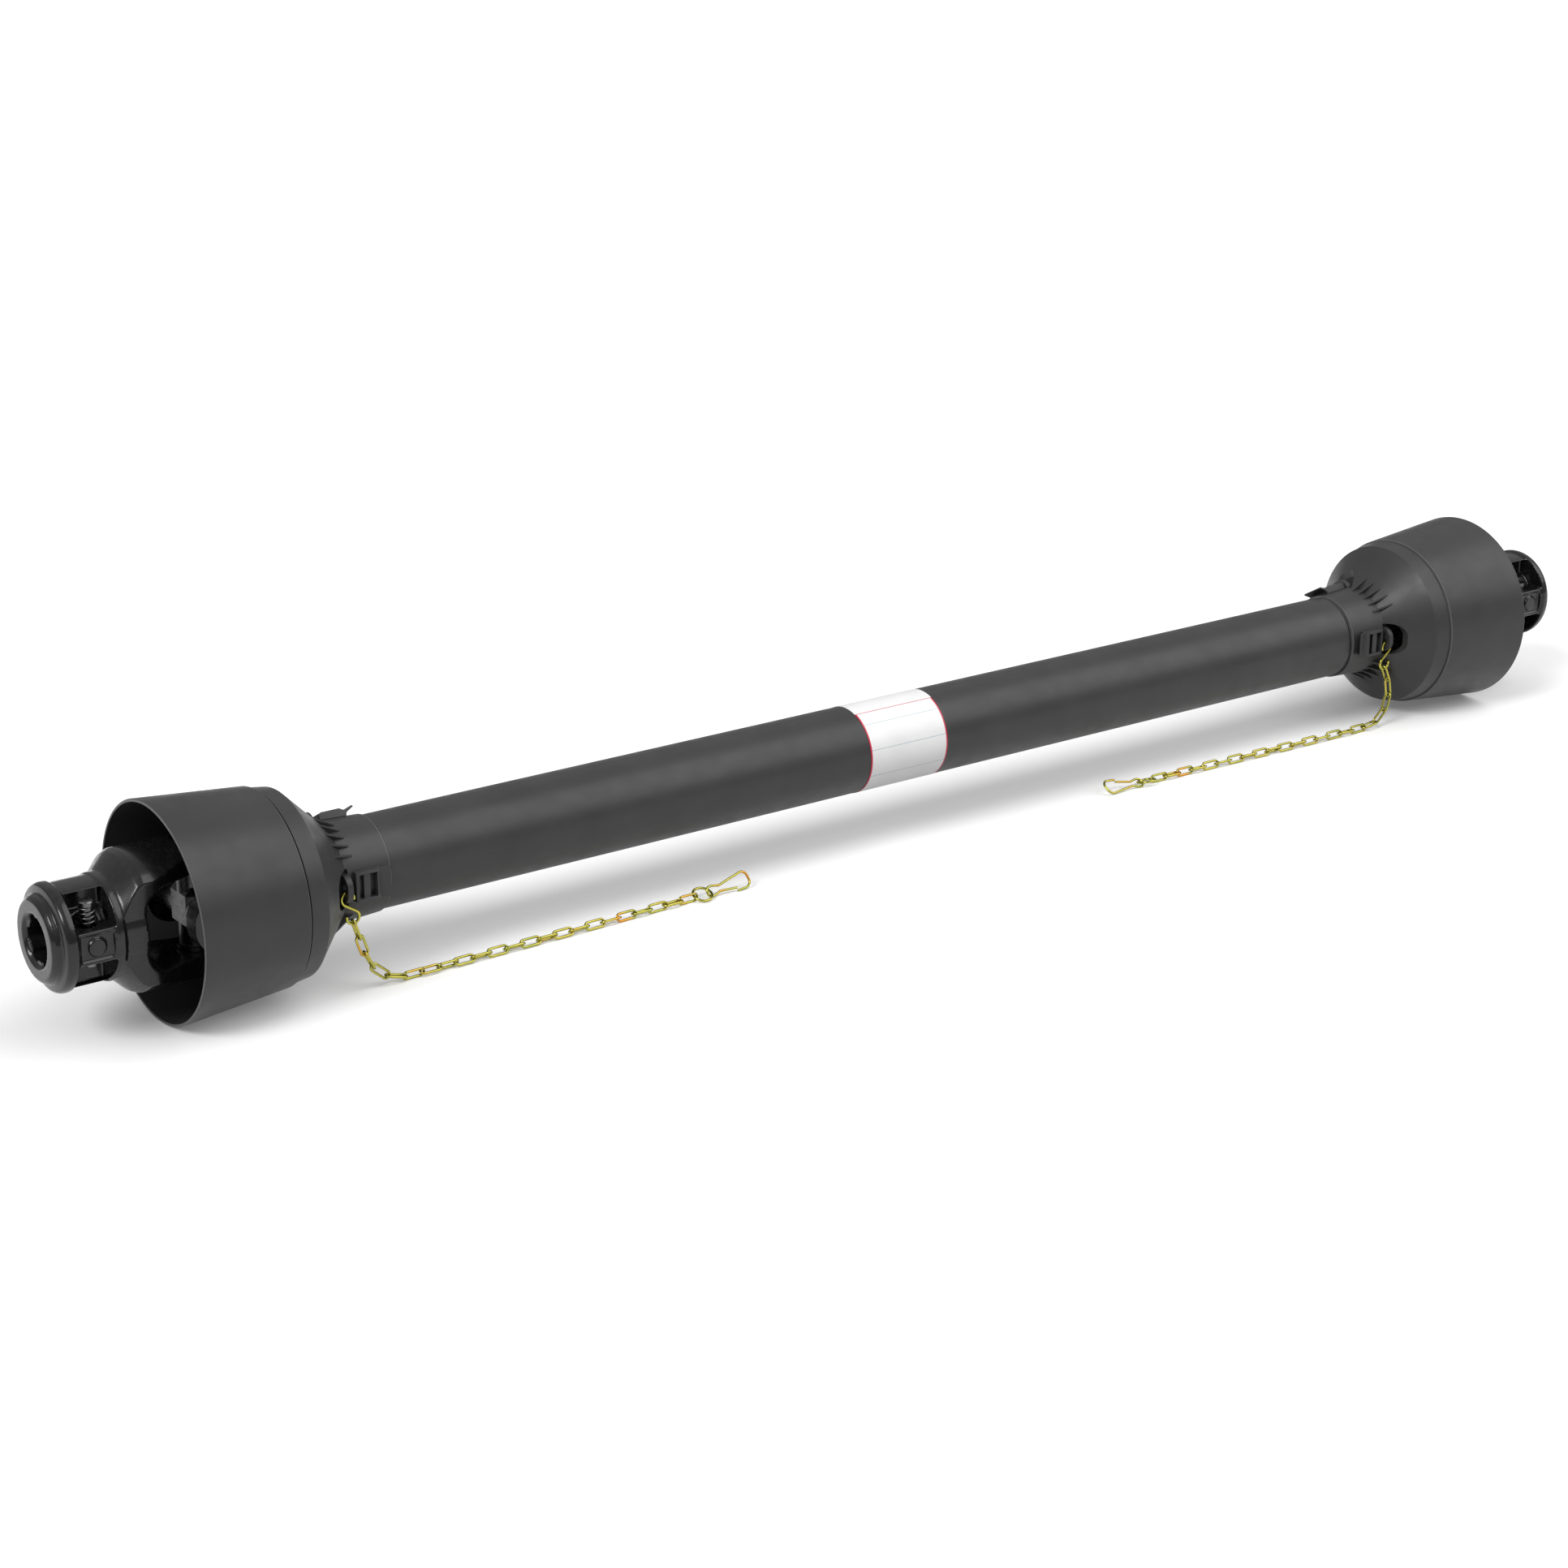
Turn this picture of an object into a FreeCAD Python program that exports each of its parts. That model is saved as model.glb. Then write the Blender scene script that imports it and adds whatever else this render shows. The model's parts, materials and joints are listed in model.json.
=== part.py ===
import FreeCAD, Part
import math
import os

# PTO drive shaft with its plastic guard and two restraining chains.
# Millimetres, +X along the shaft, +Z up. The origin is on the ground below the middle of the closed shaft.
# One end is modelled about its own joint centre, with its mouth towards -X, and is then placed twice:
# the near end as it is, the far end turned half a turn about Y.

Vector = FreeCAD.Vector
ORIGIN = Vector(0, 0, 0)
X_AXIS = Vector(1, 0, 0)
Y_AXIS = Vector(0, 1, 0)
Z_AXIS = Vector(0, 0, 1)

# Whole shaft
JOINT_SPAN = 1200.0
RUNNING_GAP = 0.05
LOOSE_GAP = 0.3

# Outer yoke, distances are measured outwards from the joint centre unless they say otherwise
YOKE_LENGTH = 117.5
FLANGE_CREST_RADIUS = 38.0
FLANGE_EDGE = 1.5
BARREL_RADIUS = 36.2
NOSE_RADIUS = 30.4
NOSE_BEVEL = 2.9
NOSE_LENGTH = 6.0
NOSE_FLANGE_WIDTH = 9.0
NOSE_FLANGE_RISE = 3.0
FORK_FLANGE_RADIUS = 37.4
FORK_FLANGE_WIDTH = 5.0
WINDOW_LENGTH = 28.5
PARTING_GROOVE_WIDTH = 1.0
PARTING_GROOVE_DEPTH = 1.2
FORK_RADIUS = 50.0
FORK_SHOULDER_LENGTH = 15.0
FORK_SHOULDER_BEVEL = 4.0
FORK_THROAT_RADIUS = 16.0
FORK_BASE_THICKNESS = 16.5
FORK_WAIST_RADIUS = 14.0
OUTER_FORK_WIDTH = 34.0
INNER_FORK_WIDTH = 28.0
EAR_INSIDE = 30.0
EAR_RADIUS = 22.0
EAR_CORNER_RADIUS = 20.0
EAR_NOSE_BEVEL = 6.0

# Window block with its recess and round boss
BLOCK_HALF_HEIGHT = 11.5
WINDOW_ROOF = 3.0
WINDOW_DEPTH = 8.0
CORE_RADIUS = 22.0
RECESS_MARGIN = 2.2
RECESS_DEPTH = 3.0
BOSS_RADIUS = 6.2
BOSS_HEIGHT = 2.2

# Six-spline bore, 1 3/8 inch
SPLINE_COUNT = 6
SPLINE_TIP_RADIUS = 14.83
SPLINE_ROOT_RADIUS = 17.5
SPLINE_GROOVE_WIDTH = 8.76
SPLINE_TURN = 30.0
BORE_CHAMFER_RADIUS = 19.5
BORE_CHAMFER_DEPTH = 2.6

# Lock pin, its clip and its spring
PIN_RADIUS = 5.5
PIN_BORE_CLEARANCE = 0.15
PIN_WAIST_RADIUS = 2.7
PIN_STEM_RADIUS = 4.3
PIN_TRAVEL = 7.5
PIN_HEAD_RADIUS = 5.3
PIN_HEAD_HEIGHT = 3.5
PIN_TAIL = 5.0
PIN_CLIP_THICKNESS = 1.2
PIN_CLIP_RADIUS = 8.0
PIN_CLIP_GROOVE = 1.2
SPRING_WIRE = 1.5
SPRING_RADIUS = 5.45
SPRING_HEIGHT = 14.0
SPRING_TURNS = 3.75

# Cross, caps, seals, circlips and grease nipple
TRUNNION_RADIUS = 10.0
TRUNNION_SHOULDER_RADIUS = 13.0
CROSS_BODY = 16.0
CROSS_BODY_THICKNESS = 26.0
CROSS_BEVEL = 5.0
CAP_RADIUS = 15.1
CAP_INSIDE = 27.0
CAP_OUTSIDE = 46.0
CAP_END_WALL = 3.0
SEAL_THICKNESS = 1.5
CIRCLIP_THICKNESS = 1.4
CIRCLIP_WIDTH = 2.6
CIRCLIP_SEAT = 1.0
CIRCLIP_GAP = 9.0
CIRCLIP_LUG_RADIUS = 2.2
CIRCLIP_HOLE_RADIUS = 1.0
NIPPLE_SEAT = 22.5
NIPPLE_BOSS_RADIUS = 5.2
NIPPLE_LENGTH = 10.0
NIPPLE_HEX = 7.0
NIPPLE_HEX_HEIGHT = 4.0
NIPPLE_HEAD_RADIUS = 2.6
NIPPLE_NECK_RADIUS = 1.7

# Inner yoke and the three-lobed profile tubes
INNER_THROAT = 46.0
HUB_RADIUS = 31.4
HUB_BEVEL = 1.0
HUB_LENGTH = 106.0
RING_GROOVE_RADIUS = 29.4
SOCKET_START = 62.0
LOBE_CENTRE = 17.0
OUTER_LOBE_RADIUS = 10.0
PROFILE_WALL = 4.0
PROFILE_GAP = 0.5
ROLL_PIN_RADIUS = 5.0
ROLL_PIN_WALL = 2.0
ROLL_PIN_SLOT = 1.6
ROLL_PIN_PLACE = 76.0
OUTER_PROFILE_STOP = 17.0
INNER_PROFILE_STOP = 32.0

# Guard: bell, cone with collar, bearing ring, latches and tubes
BELL_MOUTH = 32.5
BELL_MOUTH_RADIUS = 79.0
BELL_LENGTH = 82.5
BELL_REAR_RADIUS = 71.3
BELL_WALL = 2.2
BELL_EDGE = 0.7
BELL_SPIGOT = 11.0
BAND_GAP = 1.5
BAND_LENGTH = 14.0
BAND_RADIUS = 69.9
CONE_RADIUS = 67.8
CONE_LENGTH = 30.4
CONE_WALL = 2.6
SPIGOT_WALL = 2.0
COLLAR_ROOT_RADIUS = 37.0
COLLAR_END_RADIUS = 35.2
COLLAR_LENGTH = 36.0
GUARD_TUBE_RADIUS = 34.0
GUARD_TUBE_WALL = 2.0
GUARD_TUBE_GAP = 0.6
GUARD_TUBE_HUB_GAP = 1.5
OUTER_GUARD_STOP = 3.0
INNER_GUARD_STOP = 60.0
LATCH_COUNT = 3
RIB_COUNT = 5
RIB_PITCH = 11.4
RIB_CENTRE = 57.0
RIB_THICKNESS = 1.5
RIB_FOOT = 8.8
RIB_HEEL = 8.8
WINDOW_WIDTH = 27.0
WINDOW_REACH = 13.5
WINDOW_ROUND = 10.0
WINDOW_FLOOR = 4.0
BEARING_RING_START = 90.0
BEARING_RING_WIDTH = 9.5
TAB_START = 93.0
TAB_THICKNESS = 4.4
TAB_WIDTH = 20.6
TAB_TOP = 44.0
TAB_HOLE_RADIUS = 2.2
TAB_HOLE_RADIAL = 38.4
TAB_HOLE_DROP = 1.8
LATCH_START = 101.6
LATCH_LENGTH = 27.4
LATCH_SLOT_LENGTH = 14.0
LATCH_SLOT_START = 2.4
LATCH_WIDTH = 21.6
LATCH_SIDE = 2.0
LATCH_TOP = 40.6
LATCH_DIP = 38.6
LATCH_LIP_TOP = 41.0
LATCH_BAR_START = 6.5
LATCH_BAR_LENGTH = 5.0
LATCH_BAR_TOP = 39.0
LATCH_RAMP = 3.5
LATCH_LIP = 2.6
LATCH_LIP_ROOT = 4.0
LATCH_CORNER = 0.8
LATCH_LIP_EDGE = 1.2

# Label on the near guard tube
LABEL_START = -48.0
LABEL_LENGTH = 74.5
LABEL_THICKNESS = 0.25
LABEL_HALF_ANGLE = 100.0
LABEL_CENTRE_ANGLE = 25.0

# Chains, rings and hooks, round wire apart from the links
WIRE_SIDES = 6
WIRE_STEP = 0.12
LINK_WIRE = 1.7
LINK_WIDTH = 7.3
LINK_PITCH = 14.0
LINK_SLACK = 0.95
LINK_CORNER = 2.4
LINK_HANG_GAP = 0.3
LINK_INNER_CORNER = 0.8
RUN_LINKS = 18
FACE_TWIST = 45.0
END_TWIST = 90.0
TWIST_BLEND = 6
S_HOOK_WIRE_RADIUS = 1.1
S_HOOK_LOOP_RADIUS = 4.9
S_HOOK_HEIGHT = 24.0
RING_RADIUS = 7.4
RING_WIRE_RADIUS = 1.0
SNAP_WIRE_RADIUS = 0.95
SNAP_LENGTH = 39.0
SNAP_EYE_RADIUS = 3.8
SNAP_EYE_LENGTH = 8.4
SNAP_NECK = 2.2
SNAP_END_RADIUS = 6.6
SNAP_END_CORNER = 4.6
SNAP_RING_GAP = 0.8
FLOOR_GAP = 0.1

# How each chain lies: corners of its route, X and Y measured from the S-hook's place in its tab, then the height,
# which is left out on the ground, and the tilt of its ring and snap hook
NEAR_HANGING_LINKS = 4
NEAR_HOOK_LEAN = 14.0
NEAR_FALL = [(12.3, 1.9, 29.0), (21.3, 4.4, 12.5)]
NEAR_GROUND = [(35.3, 1.9), (174.8, 4.9), (296.8, 8.4)]
NEAR_RING_TILT = 20.0
NEAR_HOOK_TILT = 60.0
FAR_HANGING_LINKS = 3
FAR_HOOK_LEAN = -6.0
FAR_FALL = [(5.2, 1.1, 41.7), (7.6, 1.4, 27.9), (3.3, 1.5, 14.6), (-7.4, 1.2, 5.6)]
FAR_GROUND = [(-21.3, 1.0), (-109.8, 2.7), (-243.0, 6.6)]
FAR_RING_TILT = -15.0
FAR_HOOK_TILT = 35.0

AXIS_HEIGHT = BELL_MOUTH_RADIUS
GUARD_TUBE_START = HUB_LENGTH + GUARD_TUBE_HUB_GAP
NEAR_CENTRE = Vector(-JOINT_SPAN / 2, 0, AXIS_HEIGHT)
FAR_CENTRE = Vector(JOINT_SPAN / 2, 0, AXIS_HEIGHT)


# Small tools

def bar(radius, start, end):
    """Solid round bar between two points."""
    return Part.makeCylinder(radius, (end - start).Length, start, end - start)


def pipe(outer, inner, start, end):
    """Round tube between two points."""
    return bar(outer, start, end).cut(bar(inner, start, end))


def block(low, high):
    """Box between its lowest and highest corner."""
    size = high - low
    return Part.makeBox(size.x, size.y, size.z, low)


def turned_about(shape, angle, axis=X_AXIS, centre=ORIGIN):
    """Copy of a shape, turned about an axis by degrees."""
    copy = shape.copy()
    copy.rotate(centre, axis, angle)
    return copy


def rounded_wire(corners, closed=True):
    """Wire through (point, radius) corners, each corner rounded by an arc of its radius."""
    count = len(corners)
    arcs = []
    for index, (corner, radius) in enumerate(corners):
        at_end = not closed and index in (0, count - 1)
        if radius == 0 or at_end:
            arcs.append((corner, None, corner))
            continue
        to_before = (corners[index - 1][0] - corner).normalize()
        to_after = (corners[(index + 1) % count][0] - corner).normalize()
        half = to_before.getAngle(to_after) / 2
        reach = radius / math.tan(half)
        rise = radius / math.sin(half) - radius
        middle = corner + (to_before + to_after).normalize() * rise
        arcs.append((corner + to_before * reach, middle, corner + to_after * reach))
    edges = []
    for index, (start, middle, end) in enumerate(arcs):
        if middle is not None:
            edges.append(Part.Arc(start, middle, end).toShape())
        last = index == count - 1
        if last and not closed:
            break
        following = arcs[(index + 1) % count][0]
        if (following - end).Length > 1e-6:
            edges.append(Part.LineSegment(end, following).toShape())
    return Part.Wire(edges)


def revolved(outline):
    """Solid of revolution about X from (x, radius, corner radius) points."""
    corners = [(Vector(x, 0, radius), rounding) for x, radius, rounding in outline]
    return Part.Face(rounded_wire(corners)).revolve(ORIGIN, X_AXIS, 360)


def side_plate(outline, start, end):
    """Plate with a side outline of (x, z, corner radius) points, between two places along Y."""
    corners = [(Vector(x, start, z), rounding) for x, z, rounding in outline]
    return Part.Face(rounded_wire(corners)).extrude(Vector(0, end - start, 0))


def top_plate(outline, start, end):
    """Plate with a plan outline of (x, y, corner radius) points, between two heights."""
    corners = [(Vector(x, y, start), rounding) for x, y, rounding in outline]
    return Part.Face(rounded_wire(corners)).extrude(Vector(0, 0, end - start))


def wire_form(radius, path, closed=False):
    """Bent wire of that radius along a path, six-sided, its bends in short straight steps."""
    points = path.discretize(Deflection=WIRE_STEP)
    if closed:
        points = points[:-1]
    count = len(points)
    rings = []
    side = None
    for index, point in enumerate(points):
        before = points[index - 1] if closed or index > 0 else point
        after = points[(index + 1) % count] if closed or index < count - 1 else point
        along = (after - before).normalize()
        if side is None:
            helper = X_AXIS if abs(along.x) < 0.9 else Y_AXIS
            side = along.cross(helper)
        side = (side - along * side.dot(along)).normalize()
        other = along.cross(side)
        ring = []
        for corner in range(WIRE_SIDES):
            angle = 2 * math.pi * corner / WIRE_SIDES
            ring.append(point + side * (radius * math.cos(angle)) + other * (radius * math.sin(angle)))
        rings.append(ring)
    faces = []
    steps = count if closed else count - 1
    for index in range(steps):
        here = rings[index]
        there = rings[(index + 1) % count]
        for corner in range(WIRE_SIDES):
            following = (corner + 1) % WIRE_SIDES
            for triangle in ((here[corner], here[following], there[following]),
                             (here[corner], there[following], there[corner])):
                faces.append(Part.Face(Part.makePolygon(list(triangle) + [triangle[0]])))
    if not closed:
        for ring in (rings[0], rings[-1]):
            faces.append(Part.Face(Part.makePolygon(ring + ring[:1])))
    solid = Part.Solid(Part.Shell(faces))
    if solid.Volume < 0:
        solid.reverse()
    return solid


# Universal joint

def spline_bore(start, end):
    """The space inside a six-spline hub between two places along X."""
    space = bar(SPLINE_TIP_RADIUS, Vector(start, 0, 0), Vector(end, 0, 0))
    half = SPLINE_GROOVE_WIDTH / 2
    groove = block(Vector(start, -half, 0), Vector(end, half, SPLINE_ROOT_RADIUS))
    groove = groove.common(bar(SPLINE_ROOT_RADIUS, Vector(start, 0, 0), Vector(end, 0, 0)))
    for index in range(SPLINE_COUNT):
        space = space.fuse(turned_about(groove, SPLINE_TURN + index * 360 / SPLINE_COUNT))
    return space


def fork(throat, width, foot_radius):
    """Fork with ears at top and bottom, its base towards -X.

    throat is the distance from the joint centre to the bottom of the fork's U, width the half width
    of its arms at the foot and foot_radius the radius that the round foot grows from.
    """
    base = throat + FORK_BASE_THICKNESS
    shoulder = -base + FORK_SHOULDER_LENGTH
    forging = revolved([
        (-base, 0, 0),
        (-base, foot_radius, 0),
        (shoulder - FORK_SHOULDER_BEVEL, FORK_RADIUS - FORK_SHOULDER_BEVEL / 2, 0),
        (shoulder, FORK_RADIUS, 0),
        (EAR_RADIUS - EAR_NOSE_BEVEL, FORK_RADIUS, 0),
        (EAR_RADIUS, FORK_RADIUS - EAR_NOSE_BEVEL, 0),
        (EAR_RADIUS, 0, 0),
    ])
    gap = side_plate([
        (EAR_RADIUS + 1, EAR_INSIDE, 0),
        (-throat, EAR_INSIDE, FORK_THROAT_RADIUS),
        (-throat, -EAR_INSIDE, FORK_THROAT_RADIUS),
        (EAR_RADIUS + 1, -EAR_INSIDE, 0),
    ], -FORK_RADIUS, FORK_RADIUS)
    waist = -throat + FORK_THROAT_RADIUS / 2
    plan = top_plate([
        (-base, width, 0),
        (waist, width, FORK_WAIST_RADIUS),
        (-EAR_RADIUS / 2, EAR_RADIUS, EAR_CORNER_RADIUS),
        (EAR_RADIUS, EAR_RADIUS, EAR_CORNER_RADIUS),
        (EAR_RADIUS, -EAR_RADIUS, EAR_CORNER_RADIUS),
        (-EAR_RADIUS / 2, -EAR_RADIUS, EAR_CORNER_RADIUS),
        (waist, -width, FORK_WAIST_RADIUS),
        (-base, -width, 0),
    ], -FORK_RADIUS, FORK_RADIUS)
    return forging.common(plan).cut(gap)


def cap_seats():
    """Bores for the two caps of a fork with the grooves for their circlips."""
    seats = bar(CAP_RADIUS, Vector(0, 0, -FORK_RADIUS - 1), Vector(0, 0, FORK_RADIUS + 1))
    groove_radius = CAP_RADIUS + CIRCLIP_SEAT
    for side in (-1, 1):
        inner = Vector(0, 0, side * CAP_OUTSIDE)
        outer = Vector(0, 0, side * (CAP_OUTSIDE + CIRCLIP_THICKNESS))
        seats = seats.fuse(bar(groove_radius, inner, outer))
    return seats


def outer_yoke():
    """Quick-release yoke: splined bore, nose, windowed barrel and fork, one casting."""
    nose_root = YOKE_LENGTH - NOSE_LENGTH
    window_start = nose_root - NOSE_FLANGE_WIDTH
    window_end = window_start - WINDOW_LENGTH
    flange_end = window_end - FORK_FLANGE_WIDTH
    groove_end = flange_end - PARTING_GROOVE_WIDTH
    throat = groove_end - FORK_BASE_THICKNESS
    groove_radius = FORK_FLANGE_RADIUS - PARTING_GROOVE_DEPTH
    body = revolved([
        (-throat, 0, 0),
        (-YOKE_LENGTH, 0, 0),
        (-YOKE_LENGTH, NOSE_RADIUS - NOSE_BEVEL, 0),
        (-YOKE_LENGTH + NOSE_BEVEL, NOSE_RADIUS, 0),
        (-nose_root, NOSE_RADIUS, 0),
        (-nose_root + FLANGE_EDGE, FLANGE_CREST_RADIUS - FLANGE_EDGE, 0),
        (-nose_root + NOSE_FLANGE_RISE + FLANGE_EDGE, FLANGE_CREST_RADIUS, 0),
        (-window_start, FLANGE_CREST_RADIUS, 0),
        (-window_start, BARREL_RADIUS, 0),
        (-window_end, BARREL_RADIUS, 0),
        (-window_end, FORK_FLANGE_RADIUS, 0),
        (-flange_end, FORK_FLANGE_RADIUS, 0),
        (-flange_end, groove_radius, 0),
        (-groove_end, groove_radius, 0),
        (-throat, groove_radius, 0),
    ])
    body = body.fuse(fork(throat, OUTER_FORK_WIDTH, FORK_FLANGE_RADIUS))
    # The windows are open to the viewer's side and show the core of the bore behind the lock pin.
    window_roof = BARREL_RADIUS - WINDOW_ROOF
    for side in (-1, 1):
        low = min(side * BLOCK_HALF_HEIGHT, side * window_roof)
        high = max(side * BLOCK_HALF_HEIGHT, side * window_roof)
        room = block(Vector(-window_start, -FORK_RADIUS, low), Vector(-window_end, -WINDOW_DEPTH, high))
        room = room.cut(bar(CORE_RADIUS, Vector(-window_start, 0, 0), Vector(-window_end, 0, 0)))
        pin_room = bar(PIN_CLIP_RADIUS + 1.0, Vector(-pin_place(), -pin_offset(), low),
                       Vector(-pin_place(), -pin_offset(), high))
        body = body.cut(room).cut(pin_room)
    recess_bottom = -BARREL_RADIUS + RECESS_DEPTH
    recess = block(Vector(-window_start + RECESS_MARGIN, -FORK_RADIUS, -BLOCK_HALF_HEIGHT + RECESS_MARGIN),
                   Vector(-window_end - RECESS_MARGIN, recess_bottom, BLOCK_HALF_HEIGHT - RECESS_MARGIN))
    body = body.cut(recess)
    boss_place = -(window_start + window_end) / 2
    body = body.fuse(bar(BOSS_RADIUS, Vector(boss_place, recess_bottom + 1, 0),
                         Vector(boss_place, recess_bottom - BOSS_HEIGHT, 0)))
    body = body.cut(spline_bore(-YOKE_LENGTH, -throat + 1))
    chamfer = revolved([
        (-YOKE_LENGTH, 0, 0),
        (-YOKE_LENGTH, BORE_CHAMFER_RADIUS, 0),
        (-YOKE_LENGTH + BORE_CHAMFER_DEPTH, SPLINE_ROOT_RADIUS, 0),
        (-YOKE_LENGTH + BORE_CHAMFER_DEPTH, 0, 0),
    ])
    body = body.cut(chamfer)
    pin_bore = bar(PIN_RADIUS + PIN_BORE_CLEARANCE, Vector(-pin_place(), -pin_offset(), -window_roof),
                   Vector(-pin_place(), -pin_offset(), window_roof))
    return body.cut(pin_bore).cut(cap_seats()).removeSplitter()


def pin_place():
    """Distance of the lock pin from the joint centre, the middle of the windows."""
    return YOKE_LENGTH - NOSE_LENGTH - NOSE_FLANGE_WIDTH - WINDOW_LENGTH / 2


def pin_offset():
    """Distance of the lock pin from the shaft axis: its side just clears the spline tips."""
    return SPLINE_TIP_RADIUS + PIN_RADIUS + 0.17


def pin_point(height):
    """Point on the lock pin's axis."""
    return Vector(-pin_place(), -pin_offset(), height)


def lock_pin():
    """Push pin: full shank below, waist that frees the splines when pressed, stem and head."""
    waist_start = PIN_TRAVEL / 5
    waist_end = waist_start + 2 * PIN_TRAVEL
    head_start = BLOCK_HALF_HEIGHT + SPRING_HEIGHT
    tail_end = -BLOCK_HALF_HEIGHT - PIN_TAIL
    body = bar(PIN_RADIUS, pin_point(tail_end), pin_point(waist_start))
    body = body.fuse(bar(PIN_WAIST_RADIUS, pin_point(waist_start), pin_point(waist_end)))
    body = body.fuse(bar(PIN_STEM_RADIUS, pin_point(waist_end), pin_point(head_start)))
    head = bar(PIN_HEAD_RADIUS, pin_point(head_start), pin_point(head_start + PIN_HEAD_HEIGHT))
    head = head.makeChamfer(0.8, [edge for edge in head.Edges if edge.BoundBox.ZMin > head_start + 1])
    groove_top = -BLOCK_HALF_HEIGHT - LOOSE_GAP
    groove = pipe(PIN_RADIUS + 1, PIN_RADIUS - PIN_CLIP_GROOVE, pin_point(groove_top - PIN_CLIP_THICKNESS),
                  pin_point(groove_top))
    return body.fuse(head).cut(groove)


def lock_pin_clip():
    """Open clip in the pin's groove, which stops the pin against the block."""
    top = -BLOCK_HALF_HEIGHT - LOOSE_GAP
    bottom = top - PIN_CLIP_THICKNESS
    body = pipe(PIN_CLIP_RADIUS, PIN_RADIUS - PIN_CLIP_GROOVE, pin_point(bottom), pin_point(top))
    opening = block(pin_point(bottom) + Vector(-PIN_RADIUS * 0.6, -PIN_CLIP_RADIUS - 1, 0),
                    pin_point(top) + Vector(PIN_RADIUS * 0.6, 0, 0))
    pin = bar(PIN_RADIUS - PIN_CLIP_GROOVE, pin_point(bottom), pin_point(top))
    return body.cut(opening).cut(pin)


def lock_spring():
    """Coil spring between the block and the pin's head."""
    rise = SPRING_HEIGHT - SPRING_WIRE - 2 * RUNNING_GAP
    helix = Part.makeHelix(rise / SPRING_TURNS, rise, SPRING_RADIUS)
    coil = wire_form(SPRING_WIRE / 2, helix)
    coil.translate(pin_point(BLOCK_HALF_HEIGHT + SPRING_WIRE / 2 + RUNNING_GAP))
    return coil


def cross():
    """Cross of the universal joint with four trunnions on a bevelled middle."""
    corner = Vector(CROSS_BODY_THICKNESS / 2, CROSS_BODY, CROSS_BODY)
    body = block(corner * -1, corner)
    body = body.makeChamfer(CROSS_BEVEL, body.Edges)
    shoulder = CAP_INSIDE - SEAL_THICKNESS
    trunnion_end = CAP_OUTSIDE - CAP_END_WALL - LOOSE_GAP
    for axis in (Y_AXIS, Z_AXIS):
        body = body.fuse(bar(TRUNNION_SHOULDER_RADIUS, axis * -shoulder, axis * shoulder))
        body = body.fuse(bar(TRUNNION_RADIUS, axis * -trunnion_end, axis * trunnion_end))
    return body.fuse(bar(NIPPLE_BOSS_RADIUS, ORIGIN, nipple_direction() * NIPPLE_SEAT))


def nipple_direction():
    """Direction of the grease nipple, between the front and the upper trunnion."""
    return Vector(0, -1, 1).normalize()


def cross_pairs(make, axis):
    """A piece and its mirror image, on the two trunnions along an axis."""
    pieces = []
    for side in (-1, 1):
        pieces.append(make(axis * side))
    return Part.makeCompound(pieces)


def cap(direction):
    """Needle bearing cap, a cup whose open end looks at the joint centre."""
    cup = bar(CAP_RADIUS, direction * CAP_INSIDE, direction * CAP_OUTSIDE)
    return cup.cut(bar(TRUNNION_RADIUS + RUNNING_GAP, direction * CAP_INSIDE,
                       direction * (CAP_OUTSIDE - CAP_END_WALL)))


def seal(direction):
    """Rubber seal between the cross's shoulder and the cap."""
    start = direction * (CAP_INSIDE - SEAL_THICKNESS)
    end = direction * (CAP_INSIDE - RUNNING_GAP)
    return pipe(TRUNNION_SHOULDER_RADIUS, TRUNNION_RADIUS, start, end)


def circlip(direction):
    """Circlip with two eyed lugs, in its groove outside the cap."""
    start = direction * CAP_OUTSIDE
    end = direction * (CAP_OUTSIDE + CIRCLIP_THICKNESS)
    outer = CAP_RADIUS + CIRCLIP_SEAT
    inner = outer - CIRCLIP_WIDTH
    body = pipe(outer, inner, start, end)
    half = CIRCLIP_GAP / 2
    reach = outer + 1
    across = direction.cross(X_AXIS)
    corners = [start - across * half, start - across * half - X_AXIS * reach,
               start + across * half - X_AXIS * reach, start + across * half]
    opening = Part.Face(Part.makePolygon(corners + corners[:1])).extrude(end - start)
    body = body.cut(opening)
    for side in (-1, 1):
        place = across * side * (half + CIRCLIP_LUG_RADIUS / 2) - X_AXIS * (inner - CIRCLIP_LUG_RADIUS * 0.4)
        lug = bar(CIRCLIP_LUG_RADIUS, start + place, end + place)
        hole = bar(CIRCLIP_HOLE_RADIUS, start + place, end + place)
        body = body.fuse(lug).cut(hole)
    return body


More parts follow.
